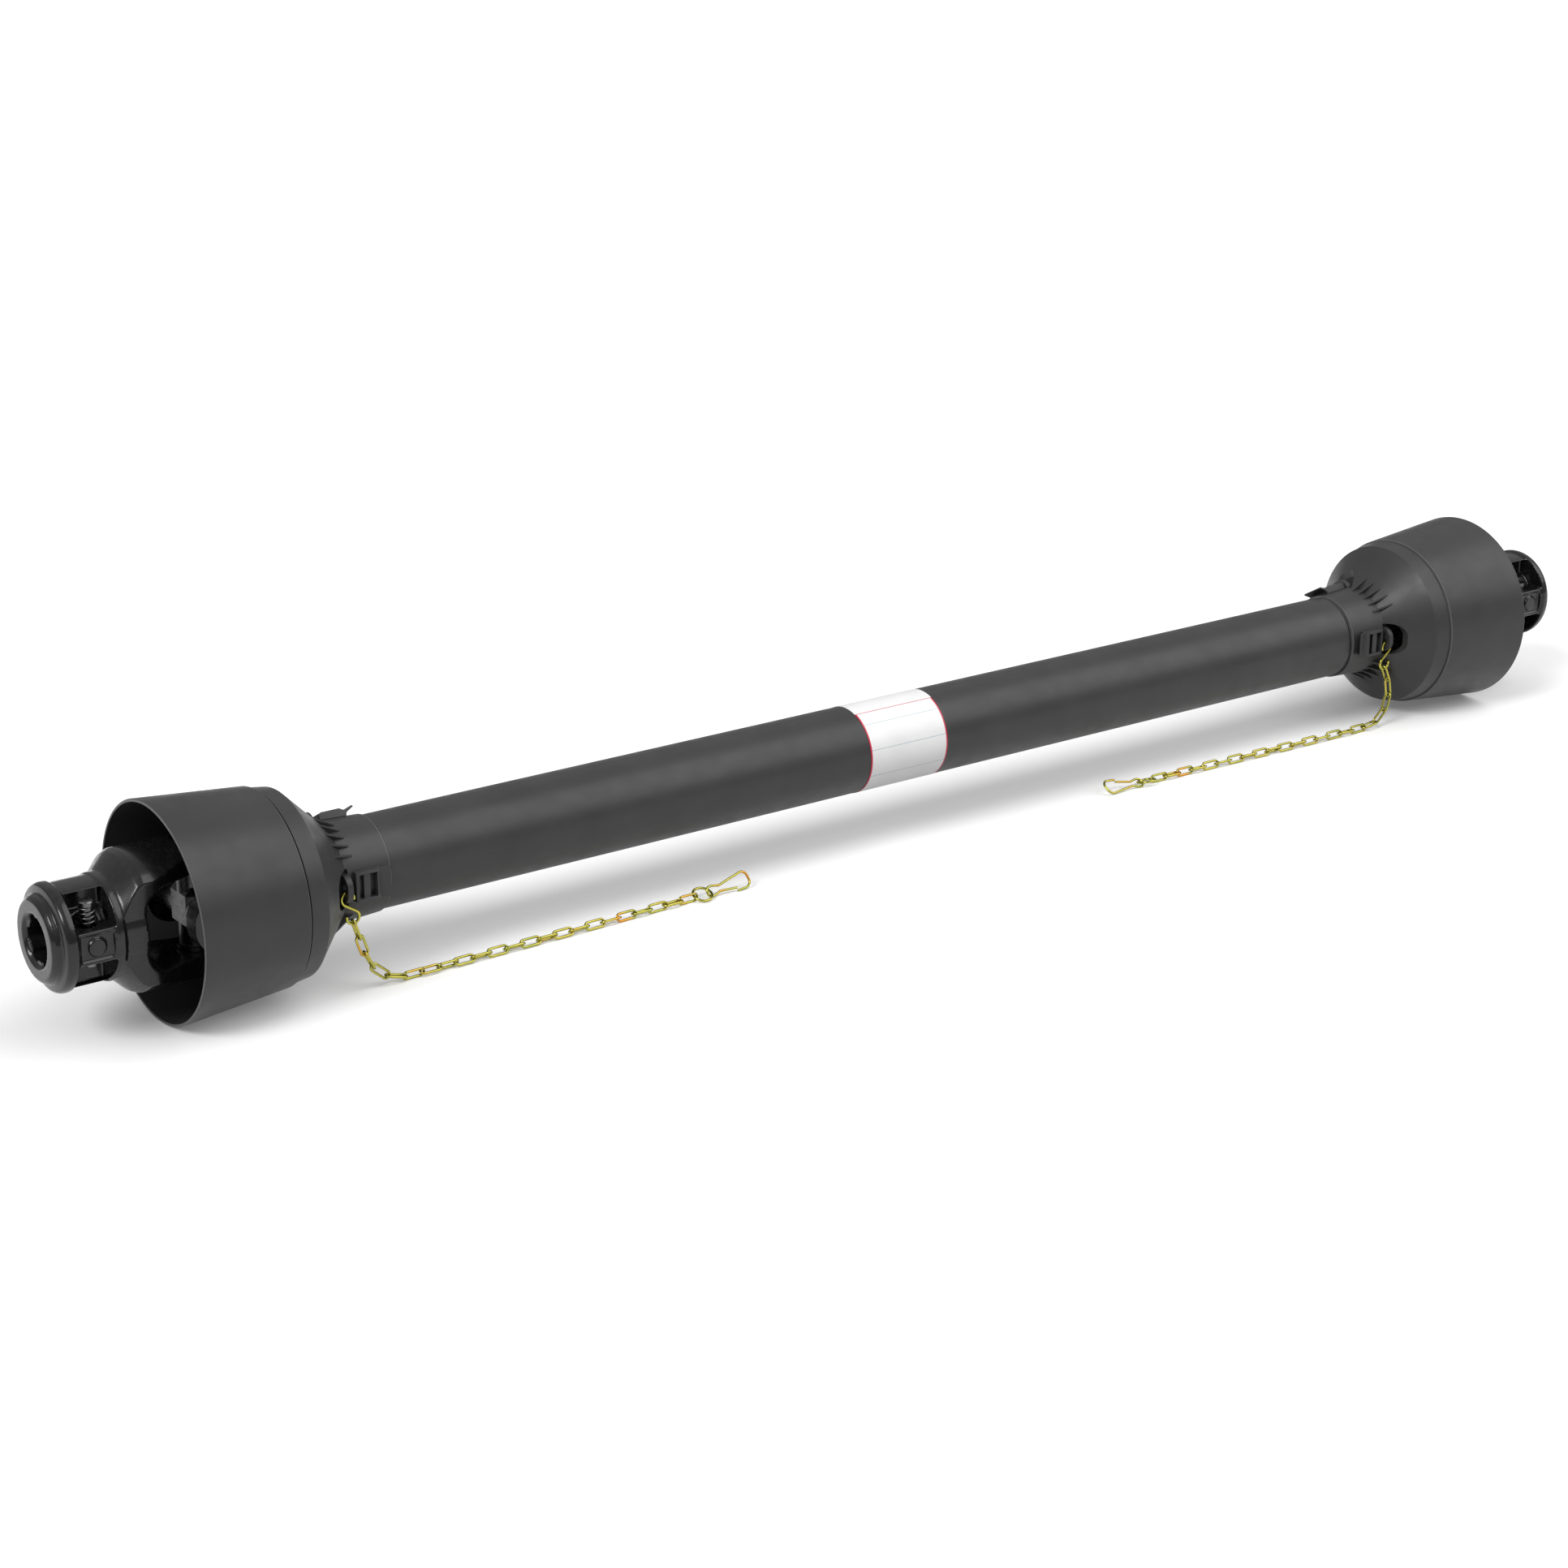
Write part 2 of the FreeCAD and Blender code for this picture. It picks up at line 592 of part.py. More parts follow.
def grease_nipple():
    """Grease nipple in the cross, between two trunnions."""
    start = NIPPLE_SEAT
    hexagon = [Vector(start, NIPPLE_HEX / math.sqrt(3) * math.cos(math.radians(angle)),
                      NIPPLE_HEX / math.sqrt(3) * math.sin(math.radians(angle))) for angle in range(0, 361, 60)]
    body = Part.Face(Part.makePolygon(hexagon)).extrude(Vector(NIPPLE_HEX_HEIGHT, 0, 0))
    hex_end = start + NIPPLE_HEX_HEIGHT
    tip = start + NIPPLE_LENGTH
    body = body.fuse(revolved([
        (hex_end, 0, 0),
        (hex_end, NIPPLE_HEX / 2 - 0.4, 0),
        (hex_end + 2.0, NIPPLE_NECK_RADIUS, 0),
        (tip - 4.0, NIPPLE_NECK_RADIUS, 0),
        (tip - 3.0, NIPPLE_HEAD_RADIUS, 0),
        (tip - 1.6, NIPPLE_HEAD_RADIUS, 0),
        (tip, NIPPLE_NECK_RADIUS, 0),
        (tip, 0, 0),
    ]))
    body.rotate(ORIGIN, Z_AXIS, -90)
    body.rotate(ORIGIN, X_AXIS, -45)
    return body


def lobed_bar(lobe_radius, first_lobe, start, end):
    """Bar with a three-lobed section: the outline round three circles, the first at an angle about the axis."""
    lobes = []
    for index in range(3):
        turn = math.radians(first_lobe + 120 * index)
        points = []
        for angle in (turn - math.pi / 3, turn, turn + math.pi / 3):
            points.append(Vector(start, LOBE_CENTRE * math.cos(turn) + lobe_radius * math.cos(angle),
                                 LOBE_CENTRE * math.sin(turn) + lobe_radius * math.sin(angle)))
        lobes.append(points)
    wire = []
    for index in range(3):
        wire.append(Part.Arc(*lobes[index]).toShape())
        wire.append(Part.LineSegment(lobes[index][2], lobes[(index + 1) % 3][0]).toShape())
    return Part.Face(Part.Wire(wire)).extrude(Vector(end - start, 0, 0))


def profile_tube(lobe_radius, first_lobe, stop):
    """Three-lobed torque tube, from its seat in the inner yoke to its stop short of the other hub."""
    end = JOINT_SPAN - HUB_LENGTH - stop
    tube = lobed_bar(lobe_radius, first_lobe, SOCKET_START, end)
    tube = tube.cut(lobed_bar(lobe_radius - PROFILE_WALL, first_lobe, SOCKET_START, end))
    return tube.cut(roll_pin_space())


def roll_pin_space():
    """The round hole for the roll pin through hub and tube."""
    return bar(ROLL_PIN_RADIUS, Vector(ROLL_PIN_PLACE, -HUB_RADIUS, 0), Vector(ROLL_PIN_PLACE, HUB_RADIUS, 0))


def roll_pin():
    """Slotted roll pin that holds the profile tube in the hub."""
    length = 2 * HUB_RADIUS - 2.0
    start = Vector(ROLL_PIN_PLACE, -length / 2, 0)
    end = Vector(ROLL_PIN_PLACE, length / 2, 0)
    body = pipe(ROLL_PIN_RADIUS, ROLL_PIN_RADIUS - ROLL_PIN_WALL, start, end)
    slot = block(start + Vector(-ROLL_PIN_SLOT / 2, 0, 0), end + Vector(ROLL_PIN_SLOT / 2, 0, ROLL_PIN_RADIUS))
    return body.cut(slot)


def inner_yoke(lobe_radius, first_lobe):
    """Inner yoke: fork towards the cross, then a hub with the guard's bearing groove and the tube's socket."""
    head = fork(INNER_THROAT, INNER_FORK_WIDTH, HUB_RADIUS)
    head.rotate(ORIGIN, Z_AXIS, 180)
    head.rotate(ORIGIN, X_AXIS, 90)
    ring_end = BEARING_RING_START + BEARING_RING_WIDTH + LOOSE_GAP
    ring_start = BEARING_RING_START - LOOSE_GAP
    hub_start = INNER_THROAT + FORK_BASE_THICKNESS / 2
    hub = revolved([
        (hub_start, 0, 0),
        (hub_start, HUB_RADIUS, 0),
        (ring_start, HUB_RADIUS, 0),
        (ring_start, RING_GROOVE_RADIUS, 0),
        (ring_end, RING_GROOVE_RADIUS, 0),
        (ring_end, HUB_RADIUS, 0),
        (HUB_LENGTH - HUB_BEVEL, HUB_RADIUS, 0),
        (HUB_LENGTH, HUB_RADIUS - HUB_BEVEL, 0),
        (HUB_LENGTH, 0, 0),
    ])
    seats = cap_seats()
    seats.rotate(ORIGIN, X_AXIS, 90)
    body = head.fuse(hub).cut(seats)
    body = body.cut(lobed_bar(lobe_radius, first_lobe, SOCKET_START, HUB_LENGTH))
    return body.cut(roll_pin_space()).removeSplitter()


# Guard

def bell_inside(place):
    """Inner radius of the bell at a place along X."""
    share = (place + BELL_MOUTH) / BELL_LENGTH
    return BELL_MOUTH_RADIUS + (BELL_REAR_RADIUS - BELL_MOUTH_RADIUS) * share - BELL_WALL


def bell():
    """Flared bell of the guard, with its mouth's outer edge broken."""
    rear = BELL_LENGTH - BELL_MOUTH
    return revolved([
        (-BELL_MOUTH, BELL_MOUTH_RADIUS - BELL_EDGE, 0),
        (-BELL_MOUTH + BELL_EDGE, BELL_MOUTH_RADIUS, 0),
        (rear, BELL_REAR_RADIUS, 0),
        (rear, bell_inside(rear), 0),
        (-BELL_MOUTH, bell_inside(-BELL_MOUTH), 0),
    ])


def collar_end():
    """Place of the collar's free end."""
    return cone_foot() + COLLAR_LENGTH


def cone_foot():
    """Place where the cone meets the collar."""
    return band_end() + CONE_LENGTH


def band_end():
    """Place of the band's rear edge, the cone's widest circle."""
    return BELL_LENGTH - BELL_MOUTH + BAND_GAP + BAND_LENGTH


def cone_outside():
    """The cone and collar as a full solid: everything inside their outer surface."""
    rear = BELL_LENGTH - BELL_MOUTH
    return revolved([
        (rear + BAND_GAP, 0, 0),
        (rear + BAND_GAP, BAND_RADIUS, 0),
        (band_end(), CONE_RADIUS, 0),
        (cone_foot(), COLLAR_ROOT_RADIUS, 0),
        (collar_end(), COLLAR_END_RADIUS, 0),
        (collar_end(), 0, 0),
    ])


def at_latch(shape, index):
    """Copy of a piece made for the front latch, turned to another latch place."""
    return turned_about(shape, -index * 360 / LATCH_COUNT)


def guard_cone(bore_radius):
    """Cone with its spigot in the bell, its collar on the guard tube, ribs and latch windows."""
    rear = BELL_LENGTH - BELL_MOUTH
    spigot_start = rear - BELL_SPIGOT
    slope_wall = CONE_WALL / math.cos(math.atan2(CONE_LENGTH, CONE_RADIUS - COLLAR_ROOT_RADIUS))
    body = revolved([
        (spigot_start, bell_inside(spigot_start), 0),
        (rear + BAND_GAP, bell_inside(rear + BAND_GAP), 0),
        (rear + BAND_GAP, BAND_RADIUS, 0),
        (band_end(), CONE_RADIUS, 0),
        (cone_foot(), COLLAR_ROOT_RADIUS, 0),
        (collar_end(), COLLAR_END_RADIUS, 0),
        (collar_end(), bore_radius, 0),
        (GUARD_TUBE_START, bore_radius, 0),
        (GUARD_TUBE_START, GUARD_TUBE_RADIUS, 0),
        (cone_foot() - slope_wall, GUARD_TUBE_RADIUS, 0),
        (band_end() - slope_wall / 2, CONE_RADIUS - CONE_WALL, 0),
        (rear + BAND_GAP, bell_inside(rear) - SPIGOT_WALL, 0),
        (spigot_start, bell_inside(spigot_start) - SPIGOT_WALL, 0),
    ])
    for latch in range(LATCH_COUNT):
        for rib in range(RIB_COUNT):
            angle = RIB_CENTRE + (rib - (RIB_COUNT - 1) / 2) * RIB_PITCH
            body = body.fuse(turned_about(at_latch(gusset(), latch), -angle))
    for latch in range(LATCH_COUNT):
        body = body.cut(at_latch(cone_window(), latch))
    return body


def gusset():
    """Triangular gusset between cone and collar, at the front."""
    slope = (CONE_RADIUS - COLLAR_ROOT_RADIUS) / CONE_LENGTH
    start = cone_foot() - RIB_FOOT
    end = cone_foot() + RIB_HEEL
    heel_radius = COLLAR_ROOT_RADIUS - (COLLAR_ROOT_RADIUS - COLLAR_END_RADIUS) * RIB_HEEL / COLLAR_LENGTH
    corners = [
        Vector(start, -(COLLAR_ROOT_RADIUS + slope * RIB_FOOT), 0),
        Vector(end, -heel_radius, 0),
        Vector(end - 1.0, -heel_radius + 0.8, 0),
        Vector(cone_foot(), -COLLAR_ROOT_RADIUS + 1.0, 0),
        Vector(start, -(COLLAR_ROOT_RADIUS + slope * RIB_FOOT) + 1.2, 0),
    ]
    plate = Part.Face(Part.makePolygon(corners + corners[:1])).extrude(Vector(0, 0, RIB_THICKNESS))
    plate.translate(Vector(0, 0, -RIB_THICKNESS / 2))
    return plate


def cone_window():
    """The D-shaped window in the cone in front of a latch."""
    start = cone_foot() - WINDOW_REACH
    end = TAB_START + TAB_THICKNESS + LOOSE_GAP
    half = WINDOW_WIDTH / 2
    return side_plate([
        (start, half, WINDOW_ROUND),
        (end, half, 0),
        (end, -half, 0),
        (start, -half, WINDOW_ROUND),
    ], -CONE_RADIUS, -GUARD_TUBE_RADIUS + WINDOW_FLOOR)


def bearing_ring():
    """Bearing ring in the inner yoke's groove, with a tab for each window of the cone."""
    start = Vector(BEARING_RING_START, 0, 0)
    end = Vector(BEARING_RING_START + BEARING_RING_WIDTH, 0, 0)
    body = bar(GUARD_TUBE_RADIUS - RUNNING_GAP, start, end)
    half = TAB_WIDTH / 2
    tab_end = TAB_START + TAB_THICKNESS
    outline = [(0, -half, 0), (-TAB_TOP, -half, half - 1.5), (-TAB_TOP, half, half - 1.5), (0, half, 0)]
    corners = [(Vector(TAB_START, y, z), rounding) for y, z, rounding in outline]
    tab = Part.Face(rounded_wire(corners)).extrude(Vector(TAB_THICKNESS, 0, 0))
    for latch in range(LATCH_COUNT):
        body = body.fuse(at_latch(tab, latch))
    body = body.cut(bar(RING_GROOVE_RADIUS + RUNNING_GAP, start, end))
    for drop in (-TAB_HOLE_DROP, TAB_HOLE_DROP):
        hole = bar(TAB_HOLE_RADIUS, Vector(TAB_START, -TAB_HOLE_RADIAL, drop), Vector(tab_end, -TAB_HOLE_RADIAL, drop))
        body = body.cut(hole)
    return body


def latches():
    """Latches on the collar: a frame with a slot, a bar across it and a finger lip."""
    start = LATCH_START
    end = LATCH_START + LATCH_LENGTH
    slot_end = start + LATCH_SLOT_START + LATCH_SLOT_LENGTH
    half = LATCH_WIDTH / 2
    corners = [
        Vector(start, -GUARD_TUBE_RADIUS, -half),
        Vector(start, -LATCH_TOP + LATCH_CORNER, -half),
        Vector(start + LATCH_SLOT_START, -LATCH_TOP, -half),
        Vector(slot_end, -LATCH_TOP, -half),
        Vector(slot_end + LATCH_RAMP, -LATCH_DIP, -half),
        Vector(end - LATCH_CORNER, -LATCH_LIP_TOP, -half),
        Vector(end, -LATCH_LIP_TOP + LATCH_LIP_EDGE, -half),
        Vector(slot_end + LATCH_LIP_ROOT + 1.0, -GUARD_TUBE_RADIUS - LATCH_LIP, -half),
        Vector(slot_end + LATCH_LIP_ROOT, -GUARD_TUBE_RADIUS, -half),
    ]
    frame = Part.Face(Part.makePolygon(corners + corners[:1])).extrude(Vector(0, 0, LATCH_WIDTH))
    slot = block(Vector(start + LATCH_SLOT_START, -FORK_RADIUS, -half + LATCH_SIDE),
                 Vector(slot_end, 0, half - LATCH_SIDE))
    bar_start = start + LATCH_BAR_START
    cross_bar = block(Vector(bar_start, -LATCH_BAR_TOP, -half + LATCH_SIDE / 2),
                      Vector(bar_start + LATCH_BAR_LENGTH, 0, half - LATCH_SIDE / 2))
    latch = frame.cut(slot).fuse(cross_bar).cut(cone_outside())
    pieces = [at_latch(latch, index) for index in range(LATCH_COUNT)]
    return Part.makeCompound(pieces)


def guard_tube(radius, length):
    """Plain guard tube, from its seat in the collar."""
    start = Vector(GUARD_TUBE_START, 0, 0)
    end = Vector(GUARD_TUBE_START + length, 0, 0)
    return pipe(radius, radius - GUARD_TUBE_WALL, start, end)


def label():
    """Bare label stuck round the front of the near guard tube, in the whole shaft's frame."""
    end = LABEL_START + LABEL_LENGTH
    outside = -GUARD_TUBE_RADIUS - LABEL_THICKNESS
    corners = [Vector(LABEL_START, -GUARD_TUBE_RADIUS, 0), Vector(end, -GUARD_TUBE_RADIUS, 0),
               Vector(end, outside, 0), Vector(LABEL_START, outside, 0)]
    edge = turned_about(Part.Face(Part.makePolygon(corners + corners[:1])),
                        LABEL_HALF_ANGLE - LABEL_CENTRE_ANGLE)
    sheet = edge.revolve(ORIGIN, X_AXIS, -2 * LABEL_HALF_ANGLE)
    sheet.translate(Z_AXIS * AXIS_HEIGHT)
    return sheet


# Chains

def link_rest_height():
    """Height of a lying chain's middle, so that a link leaning by any angle just clears the ground."""
    return math.hypot(LINK_WIDTH / 2, LINK_WIRE / 2)


def chain_nodes(route, count):
    """Places where one link hangs in the next: steps of one pitch along a route of points."""
    nodes = [route[0]]
    leg = 0
    share = 0.0
    while len(nodes) < count + 1:
        here = nodes[-1]
        while True:
            start = route[leg]
            along = route[leg + 1] - start
            offset = start - here
            a = along.dot(along)
            b = 2 * along.dot(offset)
            c = offset.dot(offset) - LINK_PITCH ** 2
            root = b * b - 4 * a * c
            hit = (-b + math.sqrt(root)) / (2 * a) if root > 0 else -1.0
            last_leg = leg == len(route) - 2
            if hit > share and (hit <= 1.0 or last_leg):
                share = hit
                nodes.append(start + along * hit)
                break
            leg += 1
            share = 0.0
    return nodes


def across_axes(along):
    """Two directions across a chain's run, the first as near to -Y as it can be."""
    side = (Y_AXIS * -1 - along * -along.y).normalize()
    return side, along.cross(side)


def link_width(along, twist):
    """Direction of a link's width when it is turned about its length by the twist in degrees."""
    side, other = across_axes(along)
    return side * math.cos(math.radians(twist)) + other * math.sin(math.radians(twist))


def link(start, end, twist):
    """One chain link between two nodes, turned about its length by the twist in degrees."""
    along = (end - start).normalize()
    width = link_width(along, twist)
    normal = along.cross(width)
    middle = (start + end) * 0.5
    half_length = (LINK_PITCH + LINK_SLACK) / 2 + LINK_WIRE
    half_width = LINK_WIDTH / 2

    def loop(inset):
        corner = LINK_INNER_CORNER if inset else LINK_CORNER
        length = half_length - inset
        reach = half_width - inset
        shape = [(length, reach - corner), (length - corner, reach), (corner - length, reach),
                 (-length, reach - corner), (-length, corner - reach), (corner - length, -reach),
                 (length - corner, -reach), (length, corner - reach)]
        base = middle - normal * (LINK_WIRE / 2)
        points = [base + along * u + width * v for u, v in shape]
        return Part.Face(Part.makePolygon(points + points[:1]))

    return loop(0).cut(loop(LINK_WIRE)).extrude(normal * LINK_WIRE)


def link_twists(nodes, hanging, side):
    """Twist of every link of a chain.

    Down from the hook each link is square to the one above it. On the ground they stand on edge at both
    ends and lean to the face twist between, and the first few share out what is left of the hook's twist.
    side is 1 at the near end and -1 at the far end, where the chain runs the other way.
    """
    runs = [(end - start).normalize() for start, end in zip(nodes, nodes[1:])]
    twists = [0.0]
    for index in range(1, hanging + 1):
        width = link_width(runs[index - 1], twists[-1]).cross(runs[index])
        across, other = across_axes(runs[index])
        twists.append(math.degrees(math.atan2(width.dot(other), width.dot(across))))
    settled = []
    for lying in range(len(runs) - hanging):
        upright = abs(1 - 2 * lying / RUN_LINKS)
        settled.append(side * (FACE_TWIST + (END_TWIST - FACE_TWIST) * upright) + 90 * lying)
    error = twists.pop() - settled[0]
    error -= 180 * round(error / 180)
    for lying, twist in enumerate(settled):
        twists.append(twist + error * max(0, 1 - lying / TWIST_BLEND))
    return twists


def chain(nodes, twists, first, last):
    """Links first to last - 1 of a chain."""
    return Part.makeCompound([link(nodes[i], nodes[i + 1], twists[i]) for i in range(first, last)])


def s_hook(tab_middle, mirror, lean_angle):
    """S-hook through the tab's hole: two round loops joined by a slanting strand, leaning towards +X."""
    top = Vector(tab_middle.x, tab_middle.y, tab_middle.z)
    upper = top - Z_AXIS * S_HOOK_LOOP_RADIUS
    lower = top - Z_AXIS * (S_HOOK_HEIGHT - S_HOOK_LOOP_RADIUS)
    half_gap = (upper - lower).Length / 2
    lean = math.asin(S_HOOK_LOOP_RADIUS / half_gap)
    open_end = math.asin((2 * S_HOOK_WIRE_RADIUS + LOOSE_GAP) / S_HOOK_LOOP_RADIUS)

    def on_loop(centre, angle):
        return centre + Vector(mirror * math.cos(angle), 0, math.sin(angle)) * S_HOOK_LOOP_RADIUS

    upper_start = -lean + open_end * 0.6
    upper_end = math.pi + lean
    first = Part.Arc(on_loop(upper, upper_start), on_loop(upper, math.pi / 2), on_loop(upper, upper_end)).toShape()
    lower_start = lean
    lower_end = -math.pi - lean + open_end * 0.6
    last = Part.Arc(on_loop(lower, lower_start), on_loop(lower, -math.pi / 2), on_loop(lower, lower_end)).toShape()
    strand = Part.LineSegment(on_loop(upper, upper_end), on_loop(lower, lower_start)).toShape()
    upright = wire_form(S_HOOK_WIRE_RADIUS, Part.Wire([first, strand, last]))
    return turned_about(upright, -lean_angle, Y_AXIS, upper)


def sloping(along, rise, length):
    """Direction that follows along and rises by rise over length."""
    slope = math.asin(rise / length)
    return along * math.cos(slope) + Z_AXIS * math.sin(slope)


def end_ring(node, direction, normal):
    """Round ring in the last link."""
    centre = node + direction * (RING_RADIUS - RING_WIRE_RADIUS)
    circle = Part.makeCircle(RING_RADIUS, centre, normal)
    return wire_form(RING_WIRE_RADIUS, Part.Wire([circle]), closed=True)


def snap_hook(start, along, across):
    """Wire snap hook: a small eye, a neck and a long loop whose free end latches on its own side.

    start is the place of the eye's outer end, and its wire runs on the flat plane of along and across.
    """
    def at(length, side):
        return start + along * length + across * side

    eye = SNAP_EYE_RADIUS
    wide = SNAP_END_RADIUS
    latch = wide - 2 * SNAP_WIRE_RADIUS - LOOSE_GAP
    corners = [
        (at(SNAP_LENGTH - 2 * wide, -latch), 0),
        (at(SNAP_EYE_LENGTH + 3.0, -SNAP_NECK), 3.0),
        (at(SNAP_EYE_LENGTH - 3.0, -eye), 2.6),
        (at(0, -eye), 3.2),
        (at(0, eye), 3.2),
        (at(SNAP_EYE_LENGTH - 3.0, eye), 2.6),
        (at(SNAP_EYE_LENGTH + 3.0, SNAP_NECK), 3.0),
        (at(SNAP_LENGTH - 2.0, wide), SNAP_END_CORNER),
        (at(SNAP_LENGTH, -wide), SNAP_END_CORNER),
        (at(SNAP_LENGTH - 2 * wide, -wide), 0),
    ]
    return wire_form(SNAP_WIRE_RADIUS, rounded_wire(corners, closed=False))


# Placing and writing

def near(shape):
    """Put a piece of the modelled end at the near end."""
    copy = shape.copy()
    copy.translate(NEAR_CENTRE)
    return copy


def far(shape):
    """Put a piece of the modelled end at the far end, turned half a turn about Y."""
    copy = turned_about(shape, 180, Y_AXIS)
    copy.translate(FAR_CENTRE)
    return copy


def tab_hook_point(place, side):
    """Top of the S-hook in the tab's hole, at the near or far end."""
    hole_bottom = place.z - TAB_HOLE_DROP - TAB_HOLE_RADIUS
    inside = S_HOOK_LOOP_RADIUS - S_HOOK_WIRE_RADIUS
    seat = math.sqrt(inside ** 2 - (TAB_THICKNESS / 2) ** 2) - RUNNING_GAP * 3
    top = hole_bottom - seat + S_HOOK_LOOP_RADIUS
    return Vector(place.x + side * (TAB_START + TAB_THICKNESS / 2), -TAB_HOLE_RADIAL, top)


def chain_route(hook_top, lean_angle, fall, ground):
    """Corners of a chain's route, from the leaning S-hook down through the air and then along the ground."""
    upper = hook_top - Z_AXIS * S_HOOK_LOOP_RADIUS
    lower = upper + turned_vector(Z_AXIS, Y_AXIS, -lean_angle) * (2 * S_HOOK_LOOP_RADIUS - S_HOOK_HEIGHT)
    start = lower - Z_AXIS * (S_HOOK_LOOP_RADIUS - S_HOOK_WIRE_RADIUS - LINK_HANG_GAP)
    foot = Vector(hook_top.x, hook_top.y, 0)
    in_air = [foot + Vector(*place) for place in fall]
    return [start] + in_air + [foot + Vector(x, y, link_rest_height()) for x, y in ground]


def chain_parts(name, hook_top, lean_angle, route, hanging, ring_tilt, hook_tilt, side):
    """S-hook, hanging and lying links, end ring and snap hook of one chain."""
    count = hanging + 1 + RUN_LINKS
    nodes = chain_nodes(route, count)
    twists = link_twists(nodes, hanging, side)
    last = nodes[-1] - nodes[-2]
    along = Vector(last.x, last.y, 0).normalize()
    tilt_up = turned_vector(Y_AXIS, X_AXIS, hook_tilt).z
    eye_height = SNAP_EYE_RADIUS * tilt_up + SNAP_WIRE_RADIUS + FLOOR_GAP
    end_height = SNAP_END_RADIUS * tilt_up + SNAP_WIRE_RADIUS + FLOOR_GAP
    eye_reach = 2 * (RING_RADIUS - RING_WIRE_RADIUS) - SNAP_WIRE_RADIUS - SNAP_RING_GAP
    ring_along = sloping(along, eye_height - nodes[-1].z, eye_reach)
    ring_across = turned_vector(Z_AXIS.cross(along), along, side * ring_tilt)
    ring_normal = ring_along.cross(ring_across).normalize()
    eye_end = nodes[-1] + ring_along * eye_reach
    hook_along = sloping(along, end_height - eye_height, SNAP_LENGTH - 2 * SNAP_END_RADIUS)
    hook_across = turned_vector(Z_AXIS.cross(along), hook_along, side * hook_tilt)
    return {
        name + "_s_hook": s_hook(hook_top, side, lean_angle),
        name + "_chain_drop": chain(nodes, twists, 0, hanging),
        name + "_chain_run": chain(nodes, twists, hanging, count),
        name + "_end_ring": end_ring(nodes[-1], ring_along, ring_normal),
        name + "_snap_hook": snap_hook(eye_end, hook_along, hook_across),
    }


def turned_vector(vector, axis, angle):
    """Vector turned about an axis by degrees."""
    return FreeCAD.Rotation(axis, angle).multVec(vector)


def build():
    """All pieces of the shaft by node name."""
    inner_lobe = OUTER_LOBE_RADIUS - PROFILE_WALL - PROFILE_GAP
    inner_guard_radius = GUARD_TUBE_RADIUS - GUARD_TUBE_WALL - GUARD_TUBE_GAP
    outer_guard_length = JOINT_SPAN - collar_end() - OUTER_GUARD_STOP - GUARD_TUBE_START
    inner_guard_length = JOINT_SPAN - 2 * GUARD_TUBE_START - INNER_GUARD_STOP
    shared = {
        "outer_yoke": outer_yoke(),
        "lock_pin": lock_pin(),
        "lock_pin_clip": lock_pin_clip(),
        "lock_spring": lock_spring(),
        "cross": cross(),
        "cross_seals": Part.makeCompound([seal(axis * side) for axis in (Y_AXIS, Z_AXIS) for side in (-1, 1)]),
        "outer_yoke_caps": cross_pairs(cap, Z_AXIS),
        "outer_yoke_circlips": cross_pairs(circlip, Z_AXIS),
        "inner_yoke_caps": cross_pairs(cap, Y_AXIS),
        "inner_yoke_circlips": cross_pairs(circlip, Y_AXIS),
        "grease_nipple": grease_nipple(),
        "roll_pin": roll_pin(),
        "bell": bell(),
        "bearing_ring": bearing_ring(),
        "latches": latches(),
    }
    pieces = {}
    for name, shape in shared.items():
        pieces["near_" + name] = near(shape)
        pieces["far_" + name] = far(shape)
    # The far end is turned half a turn about Y, so its lobes start from the other side.
    pieces["near_inner_yoke"] = near(inner_yoke(OUTER_LOBE_RADIUS, 90))
    pieces["far_inner_yoke"] = far(inner_yoke(inner_lobe, -90))
    pieces["near_profile_tube"] = near(profile_tube(OUTER_LOBE_RADIUS, 90, OUTER_PROFILE_STOP))
    pieces["far_profile_tube"] = far(profile_tube(inner_lobe, -90, INNER_PROFILE_STOP))
    pieces["near_guard_cone"] = near(guard_cone(GUARD_TUBE_RADIUS))
    pieces["far_guard_cone"] = far(guard_cone(inner_guard_radius))
    pieces["near_guard_tube"] = near(guard_tube(GUARD_TUBE_RADIUS, outer_guard_length))
    pieces["far_guard_tube"] = far(guard_tube(inner_guard_radius, inner_guard_length))
    pieces["label"] = label()
    near_hook = tab_hook_point(NEAR_CENTRE, 1)
    near_route = chain_route(near_hook, NEAR_HOOK_LEAN, NEAR_FALL, NEAR_GROUND)
    far_hook = tab_hook_point(FAR_CENTRE, -1)
    far_route = chain_route(far_hook, FAR_HOOK_LEAN, FAR_FALL, FAR_GROUND)
    pieces.update(chain_parts("near", near_hook, NEAR_HOOK_LEAN, near_route,
                              NEAR_HANGING_LINKS, NEAR_RING_TILT, NEAR_HOOK_TILT, 1))
    pieces.update(chain_parts("far", far_hook, FAR_HOOK_LEAN, far_route,
                              FAR_HANGING_LINKS, FAR_RING_TILT, FAR_HOOK_TILT, -1))
    return pieces


def main():
    os.makedirs("parts", exist_ok=True)
    for name, shape in build().items():
        shape.exportStep(os.path.join("parts", name + ".step"))


main()
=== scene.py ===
import json
import math
from collections import namedtuple

import bmesh
import bpy
from mathutils import Matrix, Vector

